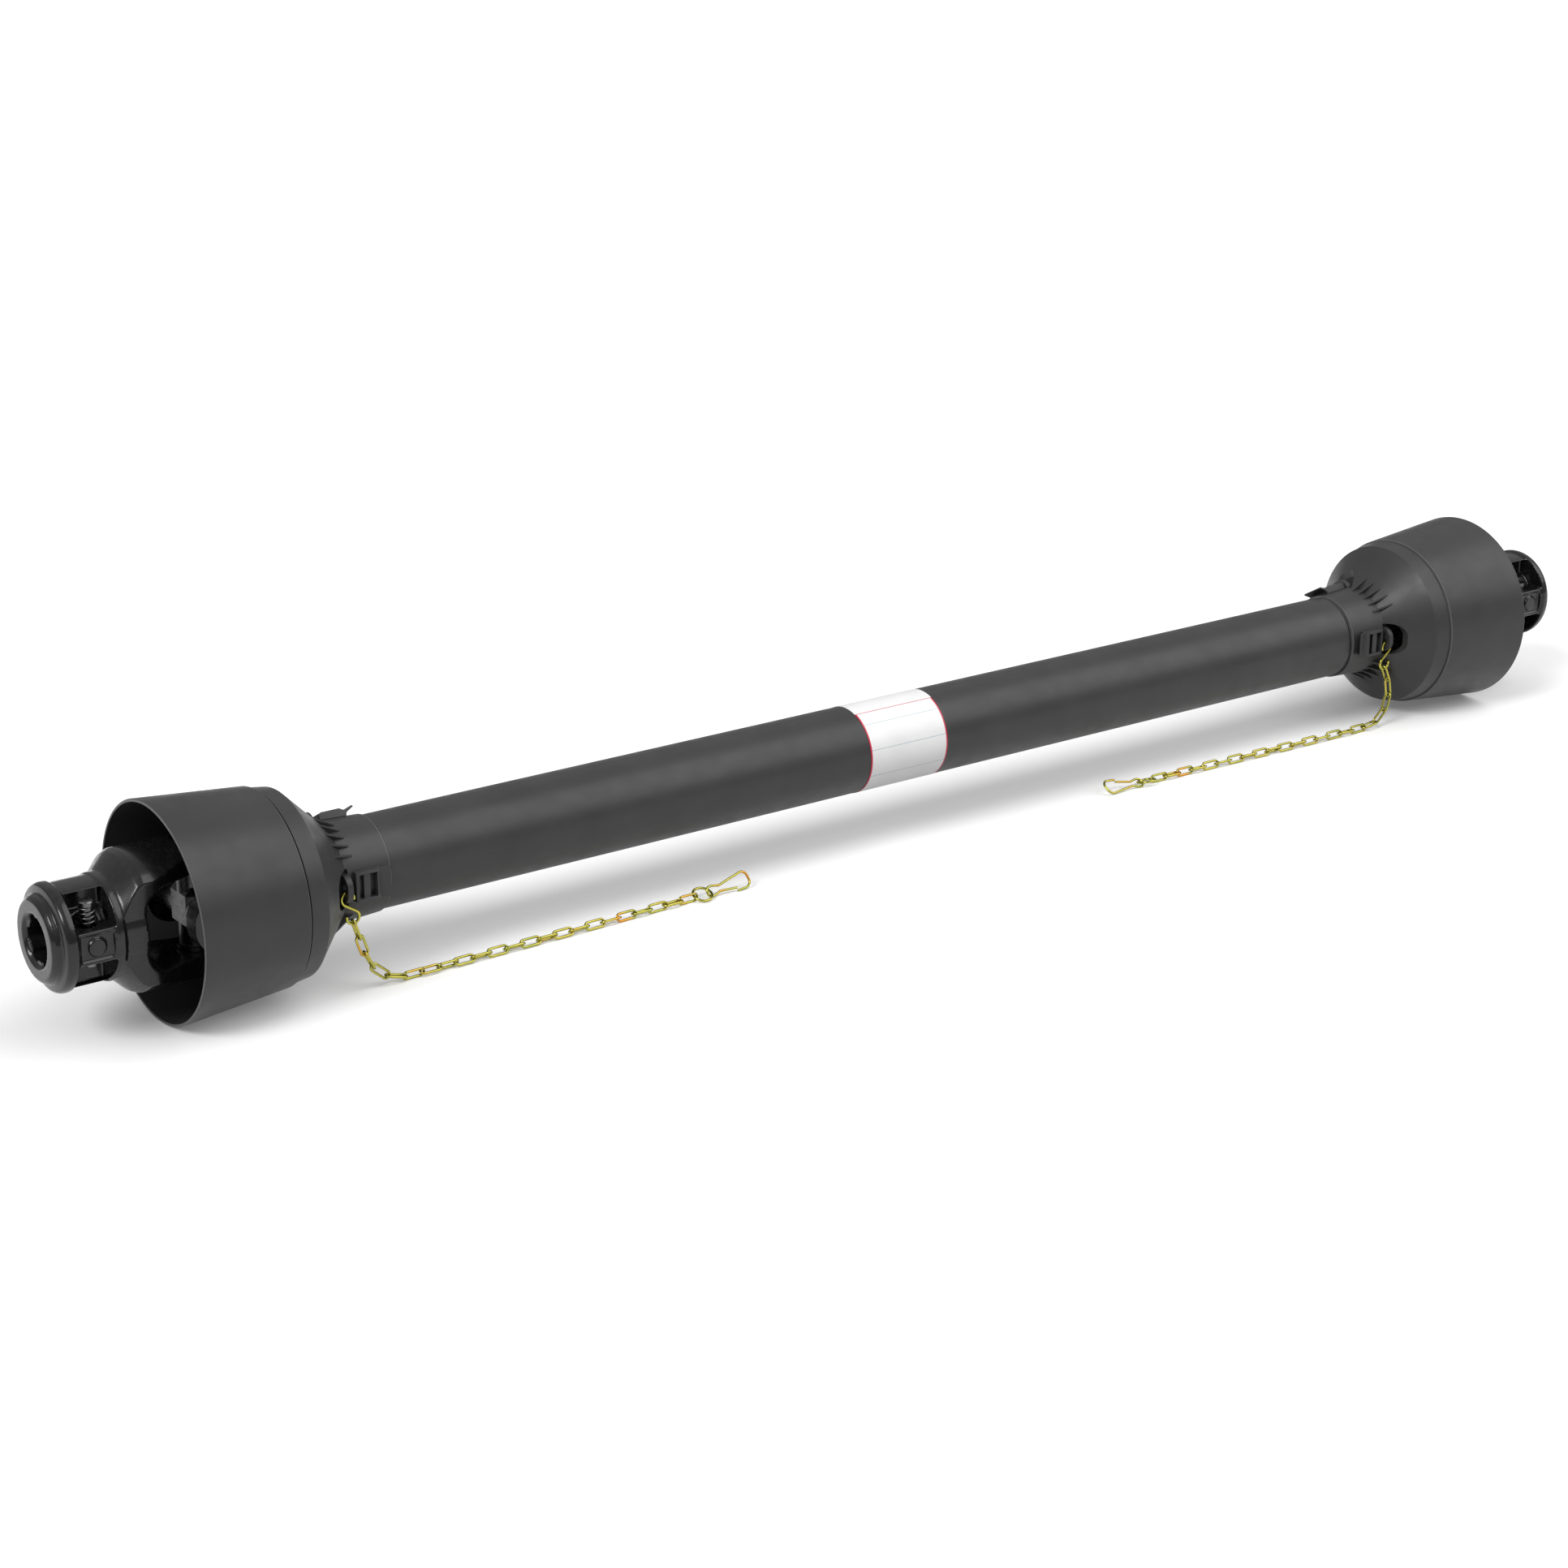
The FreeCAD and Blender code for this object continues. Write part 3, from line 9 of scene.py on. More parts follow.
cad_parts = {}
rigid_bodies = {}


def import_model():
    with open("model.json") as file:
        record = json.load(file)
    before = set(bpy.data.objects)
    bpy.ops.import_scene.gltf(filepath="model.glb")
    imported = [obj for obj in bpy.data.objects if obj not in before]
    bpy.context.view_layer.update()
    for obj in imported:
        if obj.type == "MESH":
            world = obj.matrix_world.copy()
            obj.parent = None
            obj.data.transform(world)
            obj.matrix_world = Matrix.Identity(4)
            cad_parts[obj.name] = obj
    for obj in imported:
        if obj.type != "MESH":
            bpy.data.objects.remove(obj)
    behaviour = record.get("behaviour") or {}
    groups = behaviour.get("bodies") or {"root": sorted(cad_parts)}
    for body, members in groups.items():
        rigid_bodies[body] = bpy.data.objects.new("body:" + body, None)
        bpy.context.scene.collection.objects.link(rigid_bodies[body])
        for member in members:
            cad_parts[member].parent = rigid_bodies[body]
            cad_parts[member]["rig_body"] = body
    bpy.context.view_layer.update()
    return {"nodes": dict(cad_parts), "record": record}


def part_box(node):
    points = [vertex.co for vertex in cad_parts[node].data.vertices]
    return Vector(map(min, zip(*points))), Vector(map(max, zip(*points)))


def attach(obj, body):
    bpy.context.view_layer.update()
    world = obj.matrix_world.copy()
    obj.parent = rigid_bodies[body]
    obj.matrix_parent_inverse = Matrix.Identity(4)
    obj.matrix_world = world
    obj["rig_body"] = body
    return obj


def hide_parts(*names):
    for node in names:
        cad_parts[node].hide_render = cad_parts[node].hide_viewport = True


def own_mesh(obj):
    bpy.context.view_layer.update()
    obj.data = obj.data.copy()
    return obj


# Looks of the PTO drive shaft. Lengths are in metres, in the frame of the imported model, with +X
# along the shaft and +Z up. Angles are in degrees.

MM = 0.001
X_AXIS = Vector((1, 0, 0))
Y_AXIS = Vector((0, 1, 0))
Z_AXIS = Vector((0, 0, 1))

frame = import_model()
nodes = frame["nodes"]

# Places that the pieces share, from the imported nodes
bell_low, bell_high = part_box("near_bell")
tube_low, tube_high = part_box("near_guard_tube")
label_low, label_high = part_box("label")
AXIS_HEIGHT = (bell_low.z + bell_high.z) / 2
BELL_MOUTH = -bell_low.x
BELL_END = -bell_high.x
COLLAR_END = -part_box("near_guard_cone")[1].x
TUBE_RADIUS = (tube_high.z - tube_low.z) / 2

# Chain links: radius of the wire, step from link to link, half the length and width of a link's
# middle line, and its height where it lies on the ground
LINK_WIRE = 0.98 * MM
LINK_PITCH = 14.0 * MM
LINK_HALF_LENGTH = 8.32 * MM
LINK_HALF_WIDTH = 2.75 * MM
LINK_HEIGHT = 3.75 * MM

# Lying links after the one at the bend, their lean at the middle and at the ends of the run, and
# the number of links that it takes to come from the hanging links' turn to this lean
RUN_LINKS = 18
MIDDLE_LEAN = 45.0
END_LEAN = 90.0
LEAN_BLEND = 6

# S-hook: radius of the wire and of its loops, height, top of the far one, and how far its loops
# are open, as a share of what lets the wire of the same hook pass
S_HOOK_WIRE = 1.1 * MM
S_HOOK_LOOP = 4.9 * MM
S_HOOK_HEIGHT = 24.0 * MM
S_HOOK_TOP = (504.8 * MM, -38.4 * MM, 76.95 * MM)
S_HOOK_OPENING = 0.6

# End ring: radius of its middle line and of its wire
RING_RADIUS = 7.4 * MM
RING_WIRE = 1.0 * MM

# Snap hook: radius of the wire, length, then half widths of eye, neck and wide end, lengths of
# the eye and of the slopes beside it and at the end, and radii of its bends
SNAP_WIRE = 0.95 * MM
SNAP_LENGTH = 39.0 * MM
SNAP_EYE = 3.8 * MM
SNAP_NECK = 2.2 * MM
SNAP_END = 6.6 * MM
SNAP_EYE_LENGTH = 8.4 * MM
SNAP_EYE_SLOPE = 3.0 * MM
SNAP_END_SLOPE = 2.0 * MM
SNAP_EYE_BEND = 3.2 * MM
SNAP_SHOULDER_BEND = 2.6 * MM
SNAP_NECK_BEND = 3.0 * MM
SNAP_END_BEND = 4.6 * MM

# Gaps: first link in the S-hook, snap hook in the ring, pieces above the ground, wire beside wire
LINK_HANG_GAP = 0.3 * MM
SNAP_RING_GAP = 0.8 * MM
FLOOR_GAP = 0.1 * MM
LOOSE_GAP = 0.3 * MM

# Fineness of wire: points along its arcs, and the bevel's resolution round thin and thick wire
CORNER_STEPS = 7
LINK_END_STEPS = 10
S_HOOK_STEPS = 26
RING_STEPS = 48
COIL_STEPS = 24
THIN_ROUND = 3
THICK_ROUND = 5

# Each chain: its side along X, the hook's lean, the number of links that hang, corners of its
# route in mm from the hook's place (with heights in the air, without on the ground), and the
# tilts of ring and hook
CHAINS = {
    "near": {
        "side": 1, "lean": 14.0, "hanging": 4,
        "fall": [(12.3, 1.9, 29.0), (21.3, 4.4, 12.5)],
        "ground": [(35.3, 1.9), (174.8, 4.9), (296.8, 8.4)],
        "ring_tilt": 20.0, "hook_tilt": 60.0,
    },
    "far": {
        "side": -1, "lean": -6.0, "hanging": 3,
        "fall": [(5.2, 1.1, 41.7), (7.6, 1.4, 27.9), (3.3, 1.5, 14.6), (-7.4, 1.2, 5.6)],
        "ground": [(-21.3, 1.0), (-109.8, 2.7), (-243.0, 6.6)],
        "ring_tilt": -15.0, "hook_tilt": 35.0,
    },
}

# Lock spring: radius of wire and coil, and turns
SPRING_WIRE = 0.75 * MM
SPRING_COIL = 5.45 * MM
SPRING_TURNS = 3.75

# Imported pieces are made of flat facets: vertices this close are one, and edges sharper than this
# are rounded. Castings are remeshed in voxels and smoothed.
WELD_REACH = 0.005 * MM
EDGE_ANGLE = 32.0
EDGE_WIDTH = 0.35 * MM
EDGE_SEGMENTS = 2
CAST_VOXEL = 0.9 * MM
CAST_SMOOTHING = 3
CAST_SMOOTH_FACTOR = 0.5

# Patterns of the finishes. A noise has its waves per metre, layers of detail, their weight and a
# stretch. Patches turn a noise into a number from low to high, as it goes from start to end. A
# relief has the full height of a noise and the strength of its shading.
UNSTRETCHED = (1.0, 1.0, 1.0)
Noise = namedtuple("Noise", "scale detail weight stretch", defaults=(0.5, UNSTRETCHED))
Patches = namedtuple("Patches", "noise low high start end", defaults=(0.0, 1.0, 0.3, 0.7))
Relief = namedtuple("Relief", "noise height strength")

# Guard's plastic: colour, darkest and lightest tone against it, and the width and tone of the
# painted highlight on edges round the shaft, a paler band where each edge catches the light
GUARD_COLOUR = (0.034, 0.034, 0.035)
DARK_TONE = 0.88
LIGHT_TONE = 1.12
HIGHLIGHT_RIM_WIDTH = 0.9 * MM
HIGHLIGHT_RIM_TONE = 3.2
PLASTIC_TONES = Patches(Noise(22, 4))
PLASTIC_ROUGHNESS = Patches(Noise(70, 4), 0.36, 0.46)
PLASTIC_SPECULAR = 0.36
PLASTIC_GRAIN = Relief(Noise(1500, 2), 0.02 * MM, 0.5)
EXTRUDED_LINES = Relief(Noise(420, 2, stretch=(0.006, 1.0, 1.0)), 0.04 * MM, 0.4)

# Yokes' gloss paint: colour, tone of worn spots, clear coat, and the casting's skin and pits
PAINT_COLOUR = (0.007, 0.007, 0.0075)
WORN_TONE = 2.0
PAINT_WEAR = Patches(Noise(130, 5, 0.6), start=0.52, end=0.72)
PAINT_ROUGHNESS = Patches(Noise(260, 4), 0.22, 0.34)
PAINT_SPECULAR = 0.22
PAINT_COAT = 0.45
PAINT_COAT_ROUGHNESS = 0.12
CAST_SKIN = Relief(Noise(190, 3, 0.55), 0.22 * MM, 0.25)
CAST_PITS = Relief(Noise(900, 3, 0.6), 0.07 * MM, 0.25)

# Steels: their two colours and roughness, and how far the roughness goes below and above it
STEELS = {
    "tube_steel": ((0.32, 0.32, 0.33), (0.26, 0.25, 0.24), 0.38),
    "bare_steel": ((0.07, 0.07, 0.073), (0.04, 0.04, 0.04), 0.30),
    "zinc_steel": ((0.16, 0.16, 0.165), (0.10, 0.10, 0.10), 0.30),
}
STEEL_TONES = Patches(Noise(160, 4))
STEEL_SMUDGES = Noise(500, 3)
STEEL_POLISHED = 0.8
STEEL_DULL = 1.25
STEEL_MARKS = Relief(Noise(1400, 2), 0.01 * MM, 0.4)

# Yellow zinc: gold, greenish and orange places
ZINC_GOLD = (0.48, 0.42, 0.08)
ZINC_GREEN = (0.37, 0.38, 0.08)
ZINC_ORANGE = (0.60, 0.28, 0.04)
ZINC_GREEN_PATCHES = Patches(Noise(70, 3, 0.6), start=0.42, end=0.64)
ZINC_ORANGE_PATCHES = Patches(Noise(31, 2), start=0.56, end=0.68)
ZINC_ROUGHNESS = Patches(Noise(400, 3), 0.18, 0.30)
ZINC_GRAIN = Relief(Noise(1100, 2), 0.02 * MM, 0.4)

# Label: red edges and grey lines between its panels, at angles above the shaft's front
LABEL_RED_EDGE = 1.3 * MM
LABEL_LINE = 0.55 * MM
LABEL_HEAD_ANGLE = 67.9
LABEL_PANEL_ANGLES = (48.3, 13.3, -23.2, -52.0)
LABEL_PAPER = ((0.80, 0.80, 0.80), (0.85, 0.85, 0.85))
LABEL_GREY = (0.50, 0.56, 0.60)
LABEL_RED = (0.55, 0.012, 0.05)
LABEL_TONES = Patches(Noise(40, 3))
LABEL_ROUGHNESS = Patches(Noise(90, 3), 0.3, 0.4)
LABEL_WAVES = Relief(Noise(260, 2), 0.02 * MM, 0.3)

# Seals
RUBBER_COLOUR = (0.014, 0.014, 0.014)
RUBBER_ROUGHNESS = Patches(Noise(200, 3), 0.5, 0.7)
RUBBER_GRAIN = Relief(Noise(900, 2), 0.03 * MM, 0.5)

# Room: the floor's colour as the camera sees it and as it lights the object, its glow, the sky's
# strength at the horizon and from SKY_RISE up, and each lamp's azimuth, elevation, strength and
# width
FLOOR_HALF_SIZE = 30.0
FLOOR_SEEN = (0.93, 0.93, 0.93)
FLOOR_BOUNCE = (0.40, 0.40, 0.40)
FLOOR_ROUGHNESS = 0.85
FLOOR_GLOW = 0.12
SKY_RISE = 0.7
SKY_LOW = 0.18
SKY_HIGH = 0.62
LAMPS = {"key": (46, 47, 1.45, 55), "fill": (-72, 40, 1.5, 22)}
LAMP_DISTANCE = 3.0
WHITE = (1.0, 1.0, 1.0, 1.0)

# Camera, fitted to the photograph: lens and sensor in mm
CAMERA_PLACE = (-1.5084, -1.9231, 0.8948)
CAMERA_AHEAD = Vector((0.55624, 0.76272, -0.32992))
CAMERA_RIGHT = Vector((0.80796, -0.58923, 0.0))
CAMERA_LENS = 75.79
CAMERA_SENSOR = 36.0
CAMERA_REACH = 100.0


# Materials

class Nodes:
    """A material's node tree with the few steps that the finishes here need."""

    def __init__(self, name, base, metallic=0.0):
        self.material = bpy.data.materials.new(name)
        self.material.use_nodes = True
        self.tree = self.material.node_tree
        self.shader = self.tree.nodes["Principled BSDF"]
        self.set("Base Color", (*base, 1.0))
        self.set("Metallic", metallic)
        self.place = self.add("ShaderNodeTexCoord").outputs["Object"]
        self.normal = None

    def set(self, name, value):
        """Sets one of the shader's own sockets."""
        self.shader.inputs[name].default_value = value

    def add(self, kind, **settings):
        node = self.tree.nodes.new(kind)
        for key, value in settings.items():
            setattr(node, key, value)
        return node

    def link(self, output, socket):
        self.tree.links.new(output, socket)

    def math(self, operation, first, second=0.0):
        """One operation on numbers or number outputs."""
        node = self.add("ShaderNodeMath", operation=operation)
        for socket, value in zip(node.inputs, (first, second)):
            if isinstance(value, (int, float)):
                socket.default_value = value
            else:
                self.link(value, socket)
        return node.outputs[0]

    def mix(self, factor, first, second):
        """A colour between two colours or colour outputs."""
        node = self.add("ShaderNodeMix", data_type="RGBA")
        for index, value in ((0, factor), (6, first), (7, second)):
            if isinstance(value, tuple):
                node.inputs[index].default_value = (*value, 1.0)
            else:
                self.link(value, node.inputs[index])
        return node.outputs[2]

    def noise(self, pattern):
        """A noise over the piece, stretched where its pattern says so."""
        place = self.place
        if pattern.stretch != UNSTRETCHED:
            mapping = self.add("ShaderNodeMapping")
            mapping.inputs["Scale"].default_value = pattern.stretch
            self.link(place, mapping.inputs["Vector"])
            place = mapping.outputs["Vector"]
        noise = self.add("ShaderNodeTexNoise")
        noise.inputs["Scale"].default_value = pattern.scale
        noise.inputs["Detail"].default_value = pattern.detail
        noise.inputs["Roughness"].default_value = pattern.weight
        self.link(place, noise.inputs["Vector"])
        return noise.outputs["Fac"]

    def patches(self, pattern):
        """A number that changes from place to place."""
        node = self.add("ShaderNodeMapRange")
        self.link(self.noise(pattern.noise), node.inputs["Value"])
        set_range(node, pattern.start, pattern.end, pattern.low, pattern.high)
        return node.outputs["Result"]

    def colour(self, output):
        self.link(output, self.shader.inputs["Base Color"])

    def rough(self, pattern):
        """Roughness in patches; their mean stands on the socket itself."""
        self.set("Roughness", (pattern.low + pattern.high) / 2)
        self.link(self.patches(pattern), self.shader.inputs["Roughness"])

    def relief(self, layer):
        """One more layer of relief, over those before it."""
        node = self.add("ShaderNodeBump")
        node.inputs["Strength"].default_value = layer.strength
        node.inputs["Distance"].default_value = layer.height
        self.link(self.noise(layer.noise), node.inputs["Height"])
        if self.normal is not None:
            self.link(self.normal, node.inputs["Normal"])
        self.normal = node.outputs["Normal"]
        self.link(self.normal, self.shader.inputs["Normal"])

    def coordinates(self):
        """The three coordinates of the place on the piece."""
        node = self.add("ShaderNodeSeparateXYZ")
        self.link(self.place, node.inputs["Vector"])
        return node.outputs

    def near(self, value, middle, width):
        """One where value is within half a width of the middle, and nought elsewhere."""
        off = self.math("ABSOLUTE", self.math("SUBTRACT", value, middle))
        return self.math("LESS_THAN", off, width / 2)


def set_range(node, start, end, low, high):
    """Makes a map range node give low to high as its value goes from start to end."""
    ranges = {"From Min": start, "From Max": end, "To Min": low, "To Max": high}
    for name, value in ranges.items():
        node.inputs[name].default_value = value


def toned(colour, tone):
    """The colour made darker or lighter."""
    return tuple(tone * part for part in colour)


def guard_plastic(name, extruded, highlight_rims=()):
    """Satin plastic with a fine grain, and with fine lines along X where it is extruded; the edges
    round the shaft at the places given, at both ends alike, get a painted highlight: a paler band
    where each edge catches the light."""
    finish = Nodes(name, GUARD_COLOUR)
    tones = toned(GUARD_COLOUR, DARK_TONE), toned(GUARD_COLOUR, LIGHT_TONE)
    colour = finish.mix(finish.patches(PLASTIC_TONES), *tones)
    # Painted highlight: a narrow paler band at each of these edges, where light catches it
    for highlight_rim in highlight_rims:
        from_middle = finish.math("ABSOLUTE", finish.coordinates()[0])
        on_highlight_rim = finish.near(from_middle, highlight_rim, HIGHLIGHT_RIM_WIDTH)
        colour = finish.mix(on_highlight_rim, colour, toned(GUARD_COLOUR, HIGHLIGHT_RIM_TONE))
    finish.colour(colour)
    finish.rough(PLASTIC_ROUGHNESS)
    finish.set("Specular IOR Level", PLASTIC_SPECULAR)
    finish.relief(PLASTIC_GRAIN)
    if extruded:
        finish.relief(EXTRUDED_LINES)
    return finish.material


def cast_paint(name):
    """Gloss paint over a rough casting: a coarse skin, fine pits and worn, paler spots."""
    finish = Nodes(name, PAINT_COLOUR)
    worn = toned(PAINT_COLOUR, WORN_TONE)
    finish.colour(finish.mix(finish.patches(PAINT_WEAR), PAINT_COLOUR, worn))
    finish.rough(PAINT_ROUGHNESS)
    finish.relief(CAST_SKIN)
    finish.relief(CAST_PITS)
    finish.set("Specular IOR Level", PAINT_SPECULAR)
    finish.set("Coat Weight", PAINT_COAT)
    finish.set("Coat Roughness", PAINT_COAT_ROUGHNESS)
    return finish.material


def steel(name, base, tint, roughness):
    """Ground or drawn steel with fine marks and a slight change of colour."""
    finish = Nodes(name, base, metallic=1.0)
    finish.colour(finish.mix(finish.patches(STEEL_TONES), base, tint))
    finish.rough(Patches(STEEL_SMUDGES, roughness * STEEL_POLISHED, roughness * STEEL_DULL))
    finish.relief(STEEL_MARKS)
    return finish.material


def yellow_zinc(name):
    """Yellow passivated zinc: gold that turns greenish and orange from place to place."""
    finish = Nodes(name, ZINC_GOLD, metallic=1.0)
    gold = finish.mix(finish.patches(ZINC_GREEN_PATCHES), ZINC_GOLD, ZINC_GREEN)
    finish.colour(finish.mix(finish.patches(ZINC_ORANGE_PATCHES), gold, ZINC_ORANGE))
    finish.rough(ZINC_ROUGHNESS)
    finish.relief(ZINC_GRAIN)
    return finish.material


def label_film(name, low, high):
    """White film from low to high along X: red edges, thin grey lines between plain panels."""
    finish = Nodes(name, LABEL_PAPER[0])
    x, y, z = finish.coordinates()
    from_centre = finish.math("ABSOLUTE", finish.math("SUBTRACT", x, (low + high) / 2))
    edge = finish.math("GREATER_THAN", from_centre, (high - low) / 2 - LABEL_RED_EDGE)
    above_axis = finish.math("SUBTRACT", z, AXIS_HEIGHT)
    angle = finish.math("ARCTAN2", above_axis, finish.math("MULTIPLY", y, -1.0))

    def line_at(degrees):
        return finish.near(angle, math.radians(degrees), LABEL_LINE / TUBE_RADIUS)

    lines = line_at(LABEL_PANEL_ANGLES[0])
    for degrees in LABEL_PANEL_ANGLES[1:]:
        lines = finish.math("MAXIMUM", lines, line_at(degrees))
    below_head = finish.math("LESS_THAN", angle, math.radians(LABEL_HEAD_ANGLE))
    edge_below = finish.math("MULTIPLY", edge, below_head)
    red = finish.math("MAXIMUM", edge_below, line_at(LABEL_HEAD_ANGLE))
    paper = finish.mix(finish.patches(LABEL_TONES), *LABEL_PAPER)
    ruled = finish.mix(lines, paper, LABEL_GREY)
    finish.colour(finish.mix(red, ruled, LABEL_RED))
    finish.rough(LABEL_ROUGHNESS)
    finish.relief(LABEL_WAVES)
    return finish.material


def seal_rubber(name):
    """Matt black rubber."""
    finish = Nodes(name, RUBBER_COLOUR)
    finish.rough(RUBBER_ROUGHNESS)
    finish.relief(RUBBER_GRAIN)
    return finish.material


# One material for each slot of the record
MATERIALS = {
    # The bell's mouth, the bell's end and the collar's end each get a painted highlight band
    "guard_plastic": guard_plastic("guard_plastic", False, (BELL_MOUTH, BELL_END, COLLAR_END)),
    "guard_tube_plastic": guard_plastic("guard_tube_plastic", True),
    "yoke_paint": cast_paint("yoke_paint"),
    "yellow_zinc": yellow_zinc("yellow_zinc"),
    "seal_rubber": seal_rubber("seal_rubber"),
    "label_film": label_film("label_film", label_low.x, label_high.x),
}
for steel_name, steel_values in STEELS.items():
    MATERIALS[steel_name] = steel(steel_name, *steel_values)


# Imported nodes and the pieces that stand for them

def give_finish(piece, slot):
    """Gives the piece the material of a slot."""
    piece.data.materials.clear()
    piece.data.materials.append(MATERIALS[slot])


def finish_packed_nodes():
    """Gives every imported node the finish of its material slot."""
    for part in frame["record"]["subparts"]:
        give_finish(nodes[part["node"]], part["material_slot"])


def stands_for(piece, node, slot):
    """The piece takes the slot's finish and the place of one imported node, on its body."""
    give_finish(piece, slot)
    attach(piece, nodes[node]["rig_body"])
    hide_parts(node)


def soften(node):
    """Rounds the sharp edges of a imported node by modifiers, as moulding leaves them."""
    piece = nodes[node]
    weld = piece.modifiers.new("join", "WELD")
    weld.merge_threshold = WELD_REACH
    bevel = piece.modifiers.new("edges", "BEVEL")
    bevel.width = EDGE_WIDTH
    bevel.segments = EDGE_SEGMENTS
    bevel.limit_method = "ANGLE"
    bevel.angle_limit = math.radians(EDGE_ANGLE)
    bevel.harden_normals = False
    normals = piece.modifiers.new("shade", "WEIGHTED_NORMAL")
    normals.keep_sharp = False


def evaluated_mesh(piece):
    """A new mesh of the piece as its bevel or modifiers make it."""
    bpy.context.view_layer.update()
    evaluated = piece.evaluated_get(bpy.context.evaluated_depsgraph_get())
    return bpy.data.meshes.new_from_object(evaluated)


def make_casting(node, slot):
    """The yoke as it leaves the mould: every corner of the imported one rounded, in its own mesh."""
    mesh = nodes[node].data.copy()
    piece = bpy.data.objects.new(node + "_cast", mesh)
    bpy.context.scene.collection.objects.link(piece)
    shape = bmesh.new()
    shape.from_mesh(mesh)
    bmesh.ops.remove_doubles(shape, verts=shape.verts, dist=WELD_REACH)
    shape.to_mesh(mesh)
    shape.free()
    remesh = piece.modifiers.new("remesh", "REMESH")
    remesh.mode = "VOXEL"
    remesh.voxel_size = CAST_VOXEL
    smooth = piece.modifiers.new("smooth", "SMOOTH")
    smooth.factor = CAST_SMOOTH_FACTOR
    smooth.iterations = CAST_SMOOTHING
    final = evaluated_mesh(piece)
    piece.modifiers.clear()
    piece.data = final
    final.shade_smooth()
    stands_for(piece, node, slot)


# Wire

def turned(vector, axis, degrees):
    """Vector turned about an axis."""
    return Matrix.Rotation(math.radians(degrees), 3, axis) @ vector


def arc(centre, first, second, start, end, steps):
    """Points of an arc: first and second are its radius vectors at 0 and 90 degrees."""
    points = []
    for i in range(steps + 1):
        angle = math.radians(start + (end - start) * i / steps)
        points.append(centre + first * math.cos(angle) + second * math.sin(angle))
    return points


def rounded(corners):
    """Points of an open path whose inner corners are rounded: corners are (place, radius)."""
    points = [corners[0][0]]
    for (before, _), (corner, radius), (after, _) in zip(corners, corners[1:], corners[2:]):
        back = (before - corner).normalized()
        on = (after - corner).normalized()
        half = back.angle(on) / 2
        reach = radius / math.tan(half)
        centre = corner + (back + on).normalized() * (radius / math.sin(half))
        start = corner + back * reach - centre
        end = corner + on * reach - centre
        sweep = start.angle(end)
        across = (end - start * math.cos(sweep)) / math.sin(sweep)
        points += arc(centre, start, across, 0, math.degrees(sweep), CORNER_STEPS)
    points.append(corners[-1][0])
    return points


def wire_piece(name, paths, radius, closed, roundness=THICK_ROUND):
    """Round wire along each path, as one mesh object."""
    curve = bpy.data.curves.new(name + "_path", "CURVE")
    curve.dimensions = "3D"
    curve.bevel_depth = radius
    curve.bevel_resolution = roundness
    curve.use_fill_caps = True
    for path in paths:
        spline = curve.splines.new("POLY")
        spline.points.add(len(path) - 1)
        for point, place in zip(spline.points, path):
            point.co = (*place, 1.0)
        spline.use_cyclic_u = closed
    carrier = bpy.data.objects.new(name + "_carrier", curve)
    bpy.context.scene.collection.objects.link(carrier)
    mesh = evaluated_mesh(carrier)
    bpy.data.objects.remove(carrier)
    mesh.name = name
    mesh.shade_smooth()
    piece = bpy.data.objects.new(name, mesh)
    bpy.context.scene.collection.objects.link(piece)
    return piece


# Chains

def across_axes(along):
    """Two directions across a chain's run, the first as near to -Y as it can be."""
    across = (-Y_AXIS + along * along.y).normalized()
    return across, along.cross(across)


def link_width(along, twist):
    """Direction of a link's width when it is turned about its length by the twist."""
    across, other = across_axes(along)
    return across * math.cos(math.radians(twist)) + other * math.sin(math.radians(twist))


def chain_nodes(route, count):
    """Places where one link hangs in the next: steps of one pitch along a route of points."""
    places = [route[0]]
    leg = 0
    share = 0.0
    while len(places) < count + 1:
        start = route[leg]
        along = route[leg + 1] - start
        offset = start - places[-1]
        a = along.dot(along)
        b = 2 * along.dot(offset)
        c = offset.dot(offset) - LINK_PITCH ** 2
        root = b * b - 4 * a * c
        hit = (-b + math.sqrt(root)) / (2 * a) if root > 0 else -1.0
        if hit > share and (hit <= 1.0 or leg == len(route) - 2):
            share = hit
            places.append(start + along * hit)
        else:
            leg += 1
            share = 0.0
    return places


def link_twists(places, hanging, side):
    """Twist of every link: square to the link above it in the air, and leaning from link to link
    on the ground."""
    runs = [(after - before).normalized() for before, after in zip(places, places[1:])]
    twists = [0.0]
    for index in range(1, hanging + 1):
        width = link_width(runs[index - 1], twists[-1]).cross(runs[index])
        across, other = across_axes(runs[index])
        twists.append(math.degrees(math.atan2(width.dot(other), width.dot(across))))
    settled = []
    for lying in range(len(runs) - hanging):
        upright = abs(1 - 2 * lying / RUN_LINKS)
        settled.append(side * (MIDDLE_LEAN + (END_LEAN - MIDDLE_LEAN) * upright) + 90 * lying)
    error = twists.pop() - settled[0]
    error -= 180 * round(error / 180)
    for lying, twist in enumerate(settled):
        twists.append(twist + error * max(0, 1 - lying / LEAN_BLEND))
    return twists


def link_path(start, end, twist):
    """Middle line of one link: two straight sides and two round ends."""
    along = (end - start).normalized()
    width = link_width(along, twist)
    middle = (start + end) / 2
    reach = LINK_HALF_LENGTH - LINK_HALF_WIDTH
    path = []
    for sign in (1, -1):
        centre = middle + along * (reach * sign)
        first = width * (-LINK_HALF_WIDTH * sign)
        second = along * (LINK_HALF_WIDTH * sign)
        path += arc(centre, first, second, 0, 180, LINK_END_STEPS)
    return path


